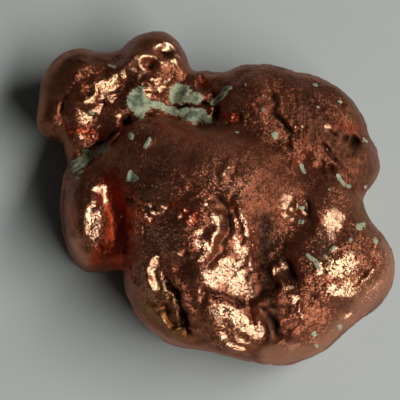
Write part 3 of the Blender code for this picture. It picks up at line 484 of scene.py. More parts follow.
        (0.78, 0.5, [(-7.2, -11.4), (-7.4, -12.7), (-6.3, -14.3), (-4.8, -15.5)]),
        (1.0, 0.6, [(-6.1, -12.7), (-5.0, -13.8), (-3.9, -14.7)]), (0.33, 0.9, [(15.0, 6.1)]),
        (0.44, 0.95, [(16.0, 5.8)]), (0.89, 0.4, [(-5.0, -4.3), (-4.1, -5.1)]),
        (1.0, 0.4, [(5.2, -0.3), (3.0, 0.2)]), (0.38, 0.8, [(-8.6, 1.1), (-8.1, 0.2)]),
        (1.11, 0.2, [(9.7, -5.8), (8.8, -4.3)]), (0.56, 0.6, [(-9.2, 8.6), (-9.9, 7.3)]),
        (1.0, 0.45, [(-11.7, 8.4), (-10.6, 7.5)]), (0.78, 0.5, [(-12.6, 8.8)]), (0.44, 0.9, [(-6.8, 14.3)]),
        (0.5, 0.9, [(-5.3, 15.9), (-5.0, 15.7)]), (0.44, 0.8, [(-12.4, 10.4)]),
        (0.44, 0.6, [(-4.8, 13.9), (-4.1, 12.8)]), (0.56, 0.5, [(-9.4, 10.8), (-8.3, 10.4)]),
    ],
    "smooth": [
        (1.11, 0.9, [(-12.8, 16.2), (-15.9, 15.1), (-18.3, 12.2), (-19.0, 8.8)]),
        (1.78, 0.9, [(-8.1, 17.1), (-5.9, 17.9), (-3.7, 16.2)]),
        (0.67, 0.9, [(0.6, -0.8), (0.8, -4.2), (0.1, -6.7)]),
        (1.11, 0.9, [(5.4, -11.4), (6.3, -13.6), (6.3, -16.1)]),
        (1.56, 0.8, [(-14.8, -7.2), (-15.2, -3.6), (-14.8, -0.3)]),
        (1.56, 0.8, [(-11.4, -0.8), (-11.2, -5.8)]), (1.56, 0.7, [(15.4, 4.2), (17.4, 3.6)]),
        (1.33, 0.6, [(1.9, -4.2)]), (1.11, 0.7, [(-7.0, -14.7), (-3.7, -15.8)]),
        (1.0, 0.9, [(-6.8, -12.1), (-5.4, -13.4), (-4.1, -14.7)]), (1.33, 0.6, [(13.6, -2.5)]),
        (1.0, 0.6, [(-15.7, 11.7)]),
    ],
    "beaded": [
        (2.22, 0.35, [(-7.0, -3.1), (-5.3, -5.3), (-3.4, -4.3)]),
        (2.44, 0.3, [(6.6, -4.7), (8.1, -10.3), (9.2, -13.6)]), (1.78, 0.35, [(6.3, 11.4), (8.8, 8.1)]),
        (1.56, 0.3, [(3.6, -5.8), (3.0, -7.8)]), (2.22, 0.25, [(13.0, -7.2), (15.4, -9.2)]),
        (0.78, 0.9, [(-10.8, 11.7), (-9.9, 12.6)]), (1.0, 0.45, [(-8.3, 12.2), (-6.8, 12.6), (-5.2, 11.5)]),
        (0.89, 0.8, [(-15.9, 7.3), (-13.4, 7.1)]), (1.0, 1.0, [(-8.0, -0.5), (-7.0, -1.8)]),
        (0.78, 0.9, [(-4.8, -1.6), (-3.0, -1.7)]), (0.67, 0.8, [(-4.3, -6.1), (-3.2, -6.6)]),
        (0.78, 0.9, [(-1.9, -6.7), (-0.6, -5.4)]), (0.67, 0.9, [(-5.2, -10.7), (-4.6, -11.7)]),
        (1.33, 0.7, [(4.1, 11.7), (5.4, 10.3)]), (1.0, 0.9, [(1.0, 9.1), (3.9, 8.6)]),
        (1.0, 0.6, [(7.2, 11.7), (8.8, 10.8)]), (0.89, 0.6, [(9.0, 7.3)]),
        (0.89, 0.8, [(8.3, -1.2), (9.4, -1.8)]), (0.44, 0.9, [(4.3, -12.7), (4.9, -13.8)]),
        (0.78, 0.3, [(-13.9, 10.6), (-12.8, 11.7)]),
    ],
    "flaked": [
        (2.0, 1.0, [(13.0, -7.5), (15.4, -9.2)]), (1.0, 0.2, [(-0.1, -8.9), (1.7, -7.8)]),
        (1.22, 0.45, [(0.1, -12.9), (2.3, -13.7), (3.7, -15.1)]),
        (0.56, 1.0, [(2.1, -1.2), (3.4, -2.7), (3.7, -5.8), (3.9, -8.6), (4.8, -11.2), (5.2, -13.4)]),
        (0.78, 0.6, [(-6.3, -6.7), (-6.4, -8.9)]), (0.89, 0.6, [(7.0, -8.6), (9.4, -12.7)]),
        (0.67, 0.6, [(-13.0, 0.8), (-13.9, -4.1)]), (1.11, 0.5, [(-1.4, -4.7)]),
    ],
    "matte": [
        (2.89, 1.0, [(-3.7, 5.3), (1.3, 5.3), (6.3, 2.5), (8.6, 0.8)]),
        (2.89, 1.0, [(6.3, 10.8), (11.9, 7.5), (14.7, 5.3)]), (2.0, 0.9, [(16.6, 3.6)]),
        (1.33, 0.8, [(5.4, -1.9), (5.4, -6.9), (6.1, -13.6)]), (1.33, 0.7, [(13.2, -2.3), (12.7, -4.5)]),
        (1.56, 0.7, [(-5.9, -14.7), (-2.6, -16.9), (3.0, -18.3), (9.7, -16.9), (14.7, -14.2),
            (18.8, -9.2)]),
    ],
    "glint": [
        (2.89, 1.0, [(-7.0, -3.1), (-4.8, -5.8), (-5.3, -9.7)]), (2.0, 1.0, [(-2.6, -3.1), (-0.9, -5.8)]),
        (1.56, 1.1, [(-8.1, -0.7), (-7.0, -1.9), (-3.1, -1.4)]), (1.0, 0.7, [(-4.6, 0.2), (-5.9, 1.1)]),
        (1.78, 0.7, [(-7.0, 6.8), (-3.1, 6.4), (1.3, 5.3), (4.1, 1.9)]),
        (1.33, 0.65, [(-7.0, 4.2), (-3.9, 2.8)]), (1.78, 0.8, [(1.3, -11.4), (1.9, -15.3)]),
        (1.78, 0.7, [(3.0, -3.1), (3.6, -7.5)]), (1.56, 0.45, [(6.6, -3.6), (8.0, -8.1), (8.6, -11.4)]),
        (2.22, 0.7, [(-14.8, 7.5), (-11.4, 11.4), (-7.0, 12.5)]), (2.0, 0.6, [(3.0, 9.2), (5.4, 11.9)]),
        (2.44, 0.45, [(0.2, 2.5), (4.1, 1.4)]), (1.78, 0.8, [(8.6, -1.6)]),
        (2.67, 0.9, [(13.6, -7.2), (15.2, -9.2)]), (1.33, 0.5, [(-13.1, 0.8), (-13.9, -4.7)]),
        (1.78, 0.5, [(8.6, 6.9), (8.6, 10.8)]),
    ],
}


# ---- what a user may change ----


def amount(name, description, default, least, most, **more):
    """A number between least and most."""
    return FloatProperty(name=name, description=description, default=default, min=least, max=most, **more)


def colour_property(name, description, colour):
    """A colour, given as linear red, green and blue."""
    return FloatVectorProperty(
        name=name, description=description, subtype="COLOR", size=4, default=(*colour, 1.0), min=0.0, max=1.0)


class NuggetShape(bpy.types.PropertyGroup):
    """Sizes of the small forms that are laid over the lumps, in mm."""

    wander: amount("Wander", "How far the marks stray from their drawn lines", 0.20, 0.0, 2.0)
    wander_length: amount("Wander length", "Distance over which they stray", 5.0, 0.5, 20.0)
    fray: amount("Fray", "How far the edges of the marks are frayed", 0.10, 0.0, 1.0)
    fray_length: amount("Fray length", "Distance over which they are frayed", 1.3, 0.2, 5.0)
    ragged_length: amount("Ragged length", "Distance over which the folds widen and narrow", 1.9, 0.2, 5.0)
    unevenness: amount("Unevenness", "Height of the gentle unevenness all over", 0.08, 0.0, 1.0)
    uneven_length: amount("Uneven length", "Distance between its rises", 4.2, 0.5, 20.0)
    grain: amount("Grain", "Height of the metal's coarse grain", 0.012, 0.0, 0.2)
    grain_length: amount("Grain length", "Distance between the grains", 0.5, 0.2, 5.0)
    bead_height: amount(
        "Bead height", "Height of the round grains where the metal is beaded", 0.28, 0.0, 1.0)
    bead_size: amount("Bead size", "Distance between them", 0.5, 0.1, 5.0)
    flake_height: amount("Flake height", "Depth of the cracks where the metal is flaked", 0.07, 0.0, 1.0)
    flake_size: amount("Flake size", "Width of a flake", 0.75, 0.1, 5.0)
    crust_height: amount("Crust height", "Thickness of the green crusts", 0.16, 0.0, 1.0)


class NuggetFinish(bpy.types.PropertyGroup):
    """Colours and gloss of the metal and of what grows on it."""

    # Painted highlight: the lighter copper that the bright stains and glints are painted.
    highlit: colour_property("Polished copper", "Metal rubbed bright on the high places", (0.88, 0.47, 0.28))
    brown: colour_property("Brown copper", "Metal under its usual thin tarnish", (0.41, 0.137, 0.070))
    umber: colour_property("Umber copper", "Metal under thicker tarnish", (0.255, 0.082, 0.042))
    # Painted sheen: lighter copper on the rims, as their reflection of the lit floor, and beside the
    # highlights.
    painted_sheen: colour_property("Pale copper", "Metal handled bright along the rim", (0.60, 0.27, 0.165))
    red: colour_property("Red copper", "Metal under red oxide", (0.45, 0.06, 0.02))
    brass: colour_property("Golden copper", "Metal with a golden tinge", (0.33, 0.130, 0.040))
    # Painted highlight, golden where the metal is brassy.
    golden_highlit: colour_property("Gilt", "Bright metal with a golden tinge", (0.86, 0.55, 0.24))
    # Dark grime, also painted as shade in grooves and hollows.
    grime_and_shade: colour_property("Soot", "Dirt in the deepest hollows", (0.035, 0.018, 0.012))
    crust: colour_property("Crust", "Pale green crust", (0.50, 0.54, 0.34))
    old_crust: colour_property("Old crust", "Dark middle of a crust", (0.15, 0.19, 0.125))
    # Painted highlight: how much lighter all metal that faces the key light's reflection is painted.
    painted_highlight: amount(
        "Rubbing", "How bright the metal is rubbed wherever it faces the rubbed side",
        0.08, 0.0, 1.0, subtype="FACTOR")
    tarnish: amount("Tarnish", "Roughness of the tarnished metal", 0.42, 0.0, 1.0, subtype="FACTOR")
    matte: amount("Matte", "Roughness of the metal where it is dull", 0.62, 0.0, 1.0, subtype="FACTOR")
    gloss: amount("Gloss", "Roughness of the polished metal", 0.30, 0.0, 1.0, subtype="FACTOR")
    facet_tilt: amount("Facet tilt", "Slope of the finest facets of the metal's grain", 0.62, 0.0, 3.0)
    scratch: amount(
        "Scratch depth", "Depth of the fine scratches where the metal is dull",
        0.00008, 0.0, 0.001, unit="LENGTH")


class NuggetStage(bpy.types.PropertyGroup):
    """The floor, the lights and the camera."""

    floor: colour_property("Floor", "Colour of the paper floor", (0.62, 0.66, 0.63))
    key_power: FloatProperty(
        name="Key light", description="Power of the softbox at the right",
        unit="POWER", default=1.82, min=0.0)
    camera_elevation: amount(
        "Camera elevation", "Angle of the camera above the table",
        radians(70.0), 0.0, pi / 2, subtype="ANGLE")
    camera_distance: FloatProperty(
        name="Camera distance", description="From the nugget to the camera",
        subtype="DISTANCE", unit="LENGTH", default=0.32, min=0.05)


# ---- the body that the lumps make ----


def to_table(points):
    """Turns points from the leaning face's frame (along, up, out) to the table's (X, Y, Z)."""
    along, up, out = points.T
    back = up * cos(FACE_LEAN) - out * sin(FACE_LEAN)
    height = up * sin(FACE_LEAN) + out * cos(FACE_LEAN) + FACE_HEIGHT
    return np.stack([along, back, height], axis=1)


def turned(spots, centre, degrees):
    """Spots seen from a centre, along and across axes that are turned by degrees."""
    turn = radians(degrees)
    away = spots[:, :2] - np.array(centre)
    along = away[:, 0] * cos(turn) + away[:, 1] * sin(turn)
    across = away[:, 1] * cos(turn) - away[:, 0] * sin(turn)
    return along, across


def lump_distance(points, lump):
    """Roughly how far the points stand off a flattened ellipsoid: (k - 1) / slope of k, where k is
    (r^p + h^p)^(1/p), r the point's reach along the face over the radii, h its height over the
    radius and p the flatness."""
    out = (lump.height - FACE_HEIGHT - lump.at[1] * sin(FACE_LEAN)) / cos(FACE_LEAN)
    along, across = turned(points, lump.at, lump.turn)
    reach = np.stack([along, across, points[:, 2] - out]) / np.array(lump.radii)[:, None]
    flat = np.hypot(reach[0], reach[1]) + 1e-9
    high = np.abs(reach[2]) + 1e-9
    shells = (flat**FLATNESS + high**FLATNESS) ** (1 / FLATNESS)
    reach *= np.stack([flat, flat, high]) ** (FLATNESS - 2) * shells ** (1 - FLATNESS)
    reach /= np.array(lump.radii)[:, None]
    return (shells - 1.0) / (np.sqrt((reach**2).sum(axis=0)) + 1e-9)


def softly_joined(first, second, width):
    """The smaller of two distances, less (width - difference)^2 / 4 width where they are close."""
    overlap = np.maximum(width - np.abs(first - second), 0.0) / width
    return np.minimum(first, second) - overlap**2 * width / 4


def body_distance(points):
    """Distance to all the lumps joined, cut off at the table."""
    lumps = lump_distance(points, LUMPS[0])
    for lump in LUMPS[1:]:
        lumps = softly_joined(lumps, lump_distance(points, lump), lump.blend)
    over_table = to_table(points)[:, 2]
    return -softly_joined(-lumps, over_table, UNDERSIDE_ROUND)


def body_slope(points):
    """Direction in which the distance grows, from four probes around each point."""
    slope = np.zeros_like(points)
    for probe in np.array([(1, -1, -1), (-1, -1, 1), (-1, 1, -1), (1, 1, 1)], float):
        slope += body_distance(points + PROBE * probe)[:, None] * probe
    return slope / (4 * PROBE)


# ---- the skin: six square grids that make a ball ----


def ball_grids(squares):
    """Points of a unit ball on the six faces of a cube: along each face the two parameters run over
    tan(-45..45 degrees), and each point is scaled to length 1."""
    steps = np.tan(np.linspace(-pi / 4, pi / 4, squares + 1))
    u, v = np.meshgrid(steps, steps, indexing="ij")
    one = np.ones_like(u)
    faces = [(u, v, one), (v, u, -one), (one, u, v), (-one, v, u), (v, one, u), (u, -one, v)]
    grids = np.stack([np.stack(face, axis=-1) for face in faces])
    return grids / np.linalg.norm(grids, axis=-1, keepdims=True)


def welding(squares):
    """For six grids, the first place of every separate point and each grid point's number."""
    places = np.round(ball_grids(squares).reshape(-1, 3) * 1e5).astype(np.int64)
    _, first, number = np.unique(places, axis=0, return_index=True, return_inverse=True)
    return first, number.reshape(-1)


def skin_squares(squares, number):
    """The four corners of every square, as numbers of welded points."""
    grid = np.arange((squares + 1) ** 2).reshape(squares + 1, squares + 1)
    corners = np.stack([grid[:-1, :-1], grid[1:, :-1], grid[1:, 1:], grid[:-1, 1:]], axis=-1)
    starts = np.arange(6)[:, None, None] * (squares + 1) ** 2
    return number[corners.reshape(1, -1, 4) + starts].reshape(-1, 4)


def skin_edges(corners):
    """Every edge of the squares once, as pairs of points."""
    pairs = np.concatenate([corners[:, [0, 1]], corners[:, [1, 2]], corners[:, [2, 3]], corners[:, [3, 0]]])
    return np.unique(np.sort(pairs, axis=1), axis=0)


def made_finer(grids):
    """Grids with a point added halfway between every two neighbours."""
    size = grids.shape[1]
    finer = np.zeros((6, 2 * size - 1, 2 * size - 1, 3))
    finer[:, ::2, ::2] = grids
    finer[:, 1::2, ::2] = (grids[:, 1:] + grids[:, :-1]) / 2
    finer[:, :, 1::2] = (finer[:, :, :-1:2] + finer[:, :, 2::2]) / 2
    return finer


def neighbour_mean(values, edges, stiffness=None):
    """The mean of a value (one number or several) over each point's neighbours along the edges."""
    count = len(values)
    weight = np.ones(len(edges)) if stiffness is None else stiffness
    flat = values.reshape(count, -1)
    sums = [
        np.bincount(edges[:, 0], flat[edges[:, 1], k] * weight, count)
        + np.bincount(edges[:, 1], flat[edges[:, 0], k] * weight, count)
        for k in range(flat.shape[1])
    ]
    total = np.bincount(edges[:, 0], weight, count) + np.bincount(edges[:, 1], weight, count)
    return (np.stack(sums, axis=1) / total[:, None]).reshape(values.shape)


def neighbour_mean_of_edges(values, edges, count):
    """The mean, over each point's edges, of a value that belongs to an edge."""
    sums = np.bincount(edges[:, 0], values, count) + np.bincount(edges[:, 1], values, count)
    return sums / np.bincount(edges.ravel(), minlength=count)


def settled(points, edges, steps, gather):
    """Draws the skin down onto the body in steps, keeping its points evenly spread: each point moves
    within the surface towards the mean of its neighbours, then along the normal to distance 0.
    Edges that face the front are stiffer by gather, so the points gather there."""
    for _ in range(steps):
        slope = body_slope(points)
        steepness = np.sqrt(np.einsum("ij,ij->i", slope, slope))[:, None]
        normal = slope / np.maximum(steepness, 1e-6)
        outward = np.clip(normal[:, 2], -SIDEWAYS, 1.0)
        stiffness = 1.0 + gather * (SIDEWAYS + outward[edges].mean(axis=1))
        pull = neighbour_mean(points, edges, stiffness) - points
        pull -= (pull * normal).sum(axis=1, keepdims=True) * normal
        points = points + EVENING_PULL * pull
        drop = body_distance(points)[:, None] / np.maximum(steepness, LEAST_SLOPE)
        points = points - np.clip(drop, -LONGEST_STEP, LONGEST_STEP) * normal
    return points


def settled_skin():
    """The skin on the body, made finer in stages: its points, the squares' corners and the edges."""
    squares = min(SETTLING)
    grids = ball_grids(squares) * np.array(START_RADII)
    for squares, steps in SETTLING.items():
        first, number = welding(squares)
        corners = skin_squares(squares, number)
        edges = skin_edges(corners)
        gather = GATHERING if squares >= GATHERED_FROM else 0.0
        points = settled(grids.reshape(-1, 3)[first], edges, steps, gather)
        grids = made_finer(points[number].reshape(6, squares + 1, squares + 1, 3))
    return points, corners, edges


# ---- the marks ----


def ripple(points, wavelength, seed, waves=14):
    """Smooth wandering of about -1 to 1: seeded sine waves that run in all directions."""
    random = np.random.default_rng(seed)
    direction = random.normal(size=(waves, 3))
    direction /= np.linalg.norm(direction, axis=1, keepdims=True)
    phase = random.uniform(0.0, 2 * pi, waves)
    return np.sin(points @ direction.T * (2 * pi / wavelength) + phase).sum(axis=1) / sqrt(waves)


def layered_ripple(points, wavelength, seed, layers):
    """Ripples on ripples, each half as long and 0.55 times as high as the one before."""
    return sum(ripple(points, wavelength / 2**k, seed + k) * 0.55**k for k in range(layers))


def cells(points, size, seed):
    """Space in cells around seeds, one seed at a random place in every cube of side size. Gives the
    distance over size to the nearest seed and to the second nearest, the way to the nearest and a
    random slope that belongs to it."""
    random = np.random.default_rng(seed)
    scatter = random.random((CELL_KINDS, 3))
    slopes = random.normal(size=(CELL_KINDS, 3))
    spots = points / size
    home = np.floor(spots).astype(np.int64)
    nearest = np.full(len(spots), 9.0)
    second = np.full(len(spots), 9.0)
    way = np.zeros_like(spots)
    own = np.zeros(len(spots), np.int64)
    for step in np.ndindex(3, 3, 3):
        cube = home + np.array(step) - 1
        number = np.bitwise_xor.reduce(cube * np.array(CELL_HASH), axis=1) % CELL_KINDS
        away = spots - cube - scatter[number]
        distance = np.sqrt((away**2).sum(axis=1))
        closer = distance < nearest
        second = np.minimum(second, np.maximum(nearest, distance))
        nearest = np.minimum(nearest, distance)
        way = np.where(closer[:, None], away, way)
        own = np.where(closer, number, own)
    return nearest, second, way, slopes[own]


def beads(points, size, seed):
    """Round grains of metal: 1 - (d / radius)^2 over the nearest seed, and 0 between the grains."""
    nearest = cells(points, size, seed)[0]
    return np.maximum(1.0 - (nearest / BEAD_RADIUS) ** 2, 0.0)


def flakes(points, size, seed):
    """Tilted plates with cracks between them: the way from the nearest seed times its slope, less a
    crack where the second nearest seed is hardly further than the nearest."""
    nearest, second, way, slope = cells(points, size, seed)
    tilt = (way * slope).sum(axis=1)
    return FLAKE_SLOPE * tilt - np.maximum(1.0 - (second - nearest) / CRACK_WIDTH, 0.0)


def smooth_path(corners, pieces=6):
    """Points along a Catmull-Rom curve through the corners; a path of one corner is a dot."""
    corners = np.array(corners * 2 if len(corners) == 1 else corners, float)
    ends = [2 * corners[0] - corners[1], *corners, 2 * corners[-1] - corners[-2]]
    t = np.linspace(0.0, 1.0, pieces, endpoint=False)[:, None]
    stretches = [
        0.5 * (2 * b + (c - a) * t + (2 * a - 5 * b + 4 * c - d) * t**2 + (3 * b - a - 3 * c + d) * t**3)
        for a, b, c, d in zip(ends, ends[1:], ends[2:], ends[3:])
    ]
    return np.vstack([*stretches, corners[-1:]])


def beside_path(spots, corners):
    """How far each spot lies from the path (positive to its left), and a fade at the path's ends."""
    path = smooth_path(corners)
    nearest = np.full(len(spots), np.inf)
    offset = np.zeros(len(spots))
    share = np.zeros(len(spots))
    for place, (start, end) in enumerate(zip(path, path[1:])):
        run = end - start
        along = np.clip((spots - start) @ run / (run @ run + 1e-9), 0.0, 1.0)
        away = spots - start - along[:, None] * run
        distance = np.hypot(away[:, 0], away[:, 1])
        closer = distance < nearest
        nearest = np.where(closer, distance, nearest)
        side = np.where(run[0] * away[:, 1] - run[1] * away[:, 0] < 0, -1.0, 1.0)
        offset = np.where(closer, distance * side, offset)
        share = np.where(closer, (place + along) / (len(path) - 1), share)
    fade = np.clip(np.minimum(share, 1 - share) * END_FADE + END_SHARE, 0.0, 1.0)
    return offset, fade * fade * (3 - 2 * fade)


def near(spots, points, reach):
    """Which spots lie within reach of the points' bounding box."""
    points = np.array(points, float).reshape(-1, 2)
    low = points.min(axis=0) - reach
    high = points.max(axis=0) + reach
    return np.flatnonzero(((spots > low) & (spots < high)).all(axis=1))


def add_swell(rise, spots, swell):
    """Adds rise exp(-(u^2 + v^2)), u and v being the distances from the centre over the radii."""
    some = near(spots, swell.at, SWELL_REACH * max(swell.radii))
    along, across = turned(spots[some], swell.at, swell.turn)
    rise[some] += swell.rise * np.exp(-((along / swell.radii[0]) ** 2) - (across / swell.radii[1]) ** 2)


def add_fold(rise, spots, fold, ragged):
    """Adds rise exp(-(d / width)^2), d being the distance from the path; the width and the rise
    swing with the raggedness."""
    some = near(spots, fold.path, FOLD_REACH * fold.width)
    offset, fade = beside_path(spots[some], fold.path)
    width = fold.width * (1.0 + WIDTH_SWING * ragged[0][some])
    height = fold.rise * np.clip(1.0 + FOLD_SWING * ragged[1][some], *FOLD_LIMITS)
    rise[some] += height * fade * np.exp(-((offset / width) ** 2))


def add_ledge(rise, spots, ledge, ragged):
    """Adds a smooth step at the path, from 0 on its right to rise on its left, times
    exp(-(d / reach)^2)."""
    some = near(spots, ledge.path, LEDGE_REACH * ledge.reach)
    offset, fade = beside_path(spots[some], ledge.path)
    height = ledge.rise * (1.0 + LEDGE_SWING * ragged[1][some])
    step = 1 / (1 + np.exp(-2 * (offset + EDGE_SWING * ledge.edge * ragged[0][some]) / ledge.edge))
    rise[some] += height * fade * step * np.exp(-((offset / ledge.reach) ** 2))


def marks(spots, ragged):
    """The height of all the marks at spots on the broad face."""
    rise = np.zeros(len(spots))
    for swell in SWELLS:
        add_swell(rise, spots, swell)
    for fold in FOLDS:
        add_fold(rise, spots, fold, ragged)
    for ledge in LEDGES:
        add_ledge(rise, spots, ledge, ragged)
    return rise


def stained(spots, stains):
    """How far each spot is stained: the greatest of strength exp(-(d / width)^2), d being the
    distance from a stain's path."""
    share = np.zeros(len(spots))
    for width, strength, path in stains:
        some = near(spots, path, STAIN_REACH * width)
        distance = beside_path(spots[some], path)[0]
        share[some] = np.maximum(share[some], strength * np.exp(-((distance / width) ** 2)))
    return share


def marked(points, shape):
    """The skin raised and lowered, each point's normal, and how far it is stained in each way. The
    marks move points along the face's outward axis, and grain, beads, flakes, crusts and
    unevenness move them along the normal."""
    slope = body_slope(points)
    normal = slope / np.linalg.norm(slope, axis=1, keepdims=True)
    facing = np.clip(normal[:, 2] / FACING_FADE, 0.0, 1.0)
    strayed = [
        points[:, axis]
        + shape.wander * ripple(points, shape.wander_length, seed=axis + 1)
        + shape.fray * ripple(points, shape.fray_length, seed=axis + 31)
        for axis in (0, 1)
    ]
    spots = np.stack(strayed, axis=1)
    stains = {name: stained(spots, places) * facing for name, places in STAINS.items()}
    rough = 1.0 - SMOOTHING * stains["smooth"]
    ragged = [ripple(points, shape.ragged_length, seed) * rough for seed in (41, 42)]
    outward = marks(spots, ragged) * facing
    rise = shape.unevenness * layered_ripple(points, shape.uneven_length, 3, layers=4) * rough
    rise += shape.grain * ripple(points, shape.grain_length, seed=21) * rough
    pits = beads(points, PIT_SIZE * shape.bead_size, seed=52)
    knobs = beads(points, shape.bead_size, seed=51) - PIT_DEPTH * pits
    rise += shape.bead_height * knobs * stains["beaded"]
    rise += shape.flake_height * flakes(points, shape.flake_size, seed=61) * stains["flaked"]
    crusted = np.clip((stains["crust"] - CRUST_EDGE) / CRUST_FADE, 0.0, 1.0)
    swing = CRUST_SWING * ripple(points, CRUST_LENGTH, seed=71)
    rise += shape.crust_height * crusted * (1.0 - CRUST_SWING + swing)
    clear_of_table = np.clip(to_table(points)[:, 2] / UNDERSIDE_ROUND - 0.5, 0.0, 1.0)
    moved = points + (rise * clear_of_table)[:, None] * normal
    moved[:, 2] += outward * clear_of_table
    return moved, normal, stains


def hollowness(points, normal, edges):
    """How far each point lies below its neighbours' mean, over the neighbours' distance squared (in
    1/mm, negative on ridges), evened out twice."""
    reach = points[edges[:, 0]] - points[edges[:, 1]]
    spread = neighbour_mean_of_edges(np.einsum("ij,ij->i", reach, reach), edges, len(points))
    hollow = ((neighbour_mean(points, edges) - points) * normal).sum(axis=1) / spread
    for _ in range(2):
        hollow = (hollow + neighbour_mean(hollow, edges)) / 2
    return hollow


# Painted highlight: the mask of metal that faces the key light's reflection towards the camera.
def lit(mesh):
    """How squarely each vertex faces the side that the nugget was rubbed from, 0 to 1."""
    normals = np.empty(3 * len(mesh.vertices), np.float32)
    mesh.vertex_normals.foreach_get("vector", normals)
    squarely = normals.reshape(-1, 3) @ np.array(KEY_HIGHLIGHT_FACING) / np.linalg.norm(KEY_HIGHLIGHT_FACING)
    return np.clip((squarely - KEY_HIGHLIGHT_EDGE) / KEY_HIGHLIGHT_FADE, 0.0, 1.0)


def fitted(placed):
    """Scales and moves the skin, in mm, onto the solid nugget's own box, in metres."""
    placed[placed[:, 2] < FLATTENED_BELOW, 2] = 0.0
    low, high = placed.min(axis=0), placed.max(axis=0)
    box_low, box_high = np.array(NUGGET_BOX[0]), np.array(NUGGET_BOX[1])
    scale = (box_high[0] - box_low[0]) / (high[0] - low[0])
    middle = np.array([(low[0] + high[0]) / 2, (low[1] + high[1]) / 2, low[2]])
    box_middle = np.array([(box_low[0] + box_high[0]) / 2, (box_low[1] + box_high[1]) / 2, box_low[2]])
    return (placed - middle) * scale + box_middle


# ---- shader maths as Python expressions ----


class Socket:
    """A node's output, or a plain number, that can be added, multiplied and so on."""

    def __init__(self, tree, socket):
        self.tree = tree
        self.socket = socket

    def beside(self, output):
        """Another output of the same node."""
        return Socket(self.tree, self.socket.node.outputs[output])

    def _math(self, operation, first, second):
        return self.tree.node("ShaderNodeMath", {"operation": operation}, {0: first, 1: second})

    def __add__(self, other):
        return self._math("ADD", self, other)

    __radd__ = __add__

    def __mul__(self, other):
        return self._math("MULTIPLY", self, other)

    __rmul__ = __mul__

    def __sub__(self, other):
        return self._math("SUBTRACT", self, other)

    def __rsub__(self, other):
        return self._math("SUBTRACT", other, self)


class Nodes:
    """A material's node tree, to which nodes are added by one method."""

    def __init__(self, name):
        self.material = bpy.data.materials.new(name)
        self.material.use_nodes = True
        self.tree = self.material.node_tree
        self.shader = self.tree.nodes["Principled BSDF"]

    def node(self, kind, settings=None, inputs=None, output=0):
        """Adds a node of a kind with its settings, then sets or links its inputs."""
        made = self.tree.nodes.new(kind)
        for name, value in (settings or {}).items():
            setattr(made, name, value)
        for key, value in (inputs or {}).items():
            self.feed(made.inputs[key], value)
        return Socket(self, made.outputs[output])

    def feed(self, socket, value):
        if isinstance(value, Socket):
            self.tree.links.new(value.socket, socket)
        else:
            socket.default_value = value

    def attribute(self, name):
        return self.node("ShaderNodeAttribute", {"attribute_name": name}, output="Fac")

    def mix(self, share, first, second):
        """The first colour where share is 0 and the second where it is 1."""
        return self.node(
            "ShaderNodeMix", {"data_type": "RGBA", "clamp_factor": True},
            {"Factor": share, 6: first, 7: second}, output=2)

    def smooth(self, value, low, high):
        """0 below low, 1 above high and a smooth step between."""
        return self.node(
            "ShaderNodeMapRange", {"interpolation_type": "SMOOTHSTEP"},
            {"Value": value, "From Min": low, "From Max": high})

    def larger(self, first, second):
        return self.node("ShaderNodeMath", {"operation": "MAXIMUM"}, {0: first, 1: second})

    def vector(self, operation, first, second, output=0):
        return self.node("ShaderNodeVectorMath", {"operation": operation}, {0: first, 1: second}, output)

    def facets(self, where, scale):
        """The height, in metres, of little facets (the way from the nearest seed, along a direction
        that belongs to the seed) and a random share that belongs to it."""
        seeds = self.node(
            "ShaderNodeTexVoronoi", {"feature": "F1"},
            {"Vector": where, "Scale": scale}, output="Position")
        lean = self.vector("SUBTRACT", seeds.beside("Color"), (0.5, 0.5, 0.5))
        height = self.vector("DOT_PRODUCT", self.vector("SUBTRACT", where, seeds), lean, "Value")
        return height, self.vector("DOT_PRODUCT", lean, (1.0, 0.0, 0.0), "Value") + 0.5

    def noise(self, where, scale, detail=4.0, roughness=0.55):
        return self.node(
            "ShaderNodeTexNoise", {},
            {"Vector": where, "Scale": scale, "Detail": detail, "Roughness": roughness})


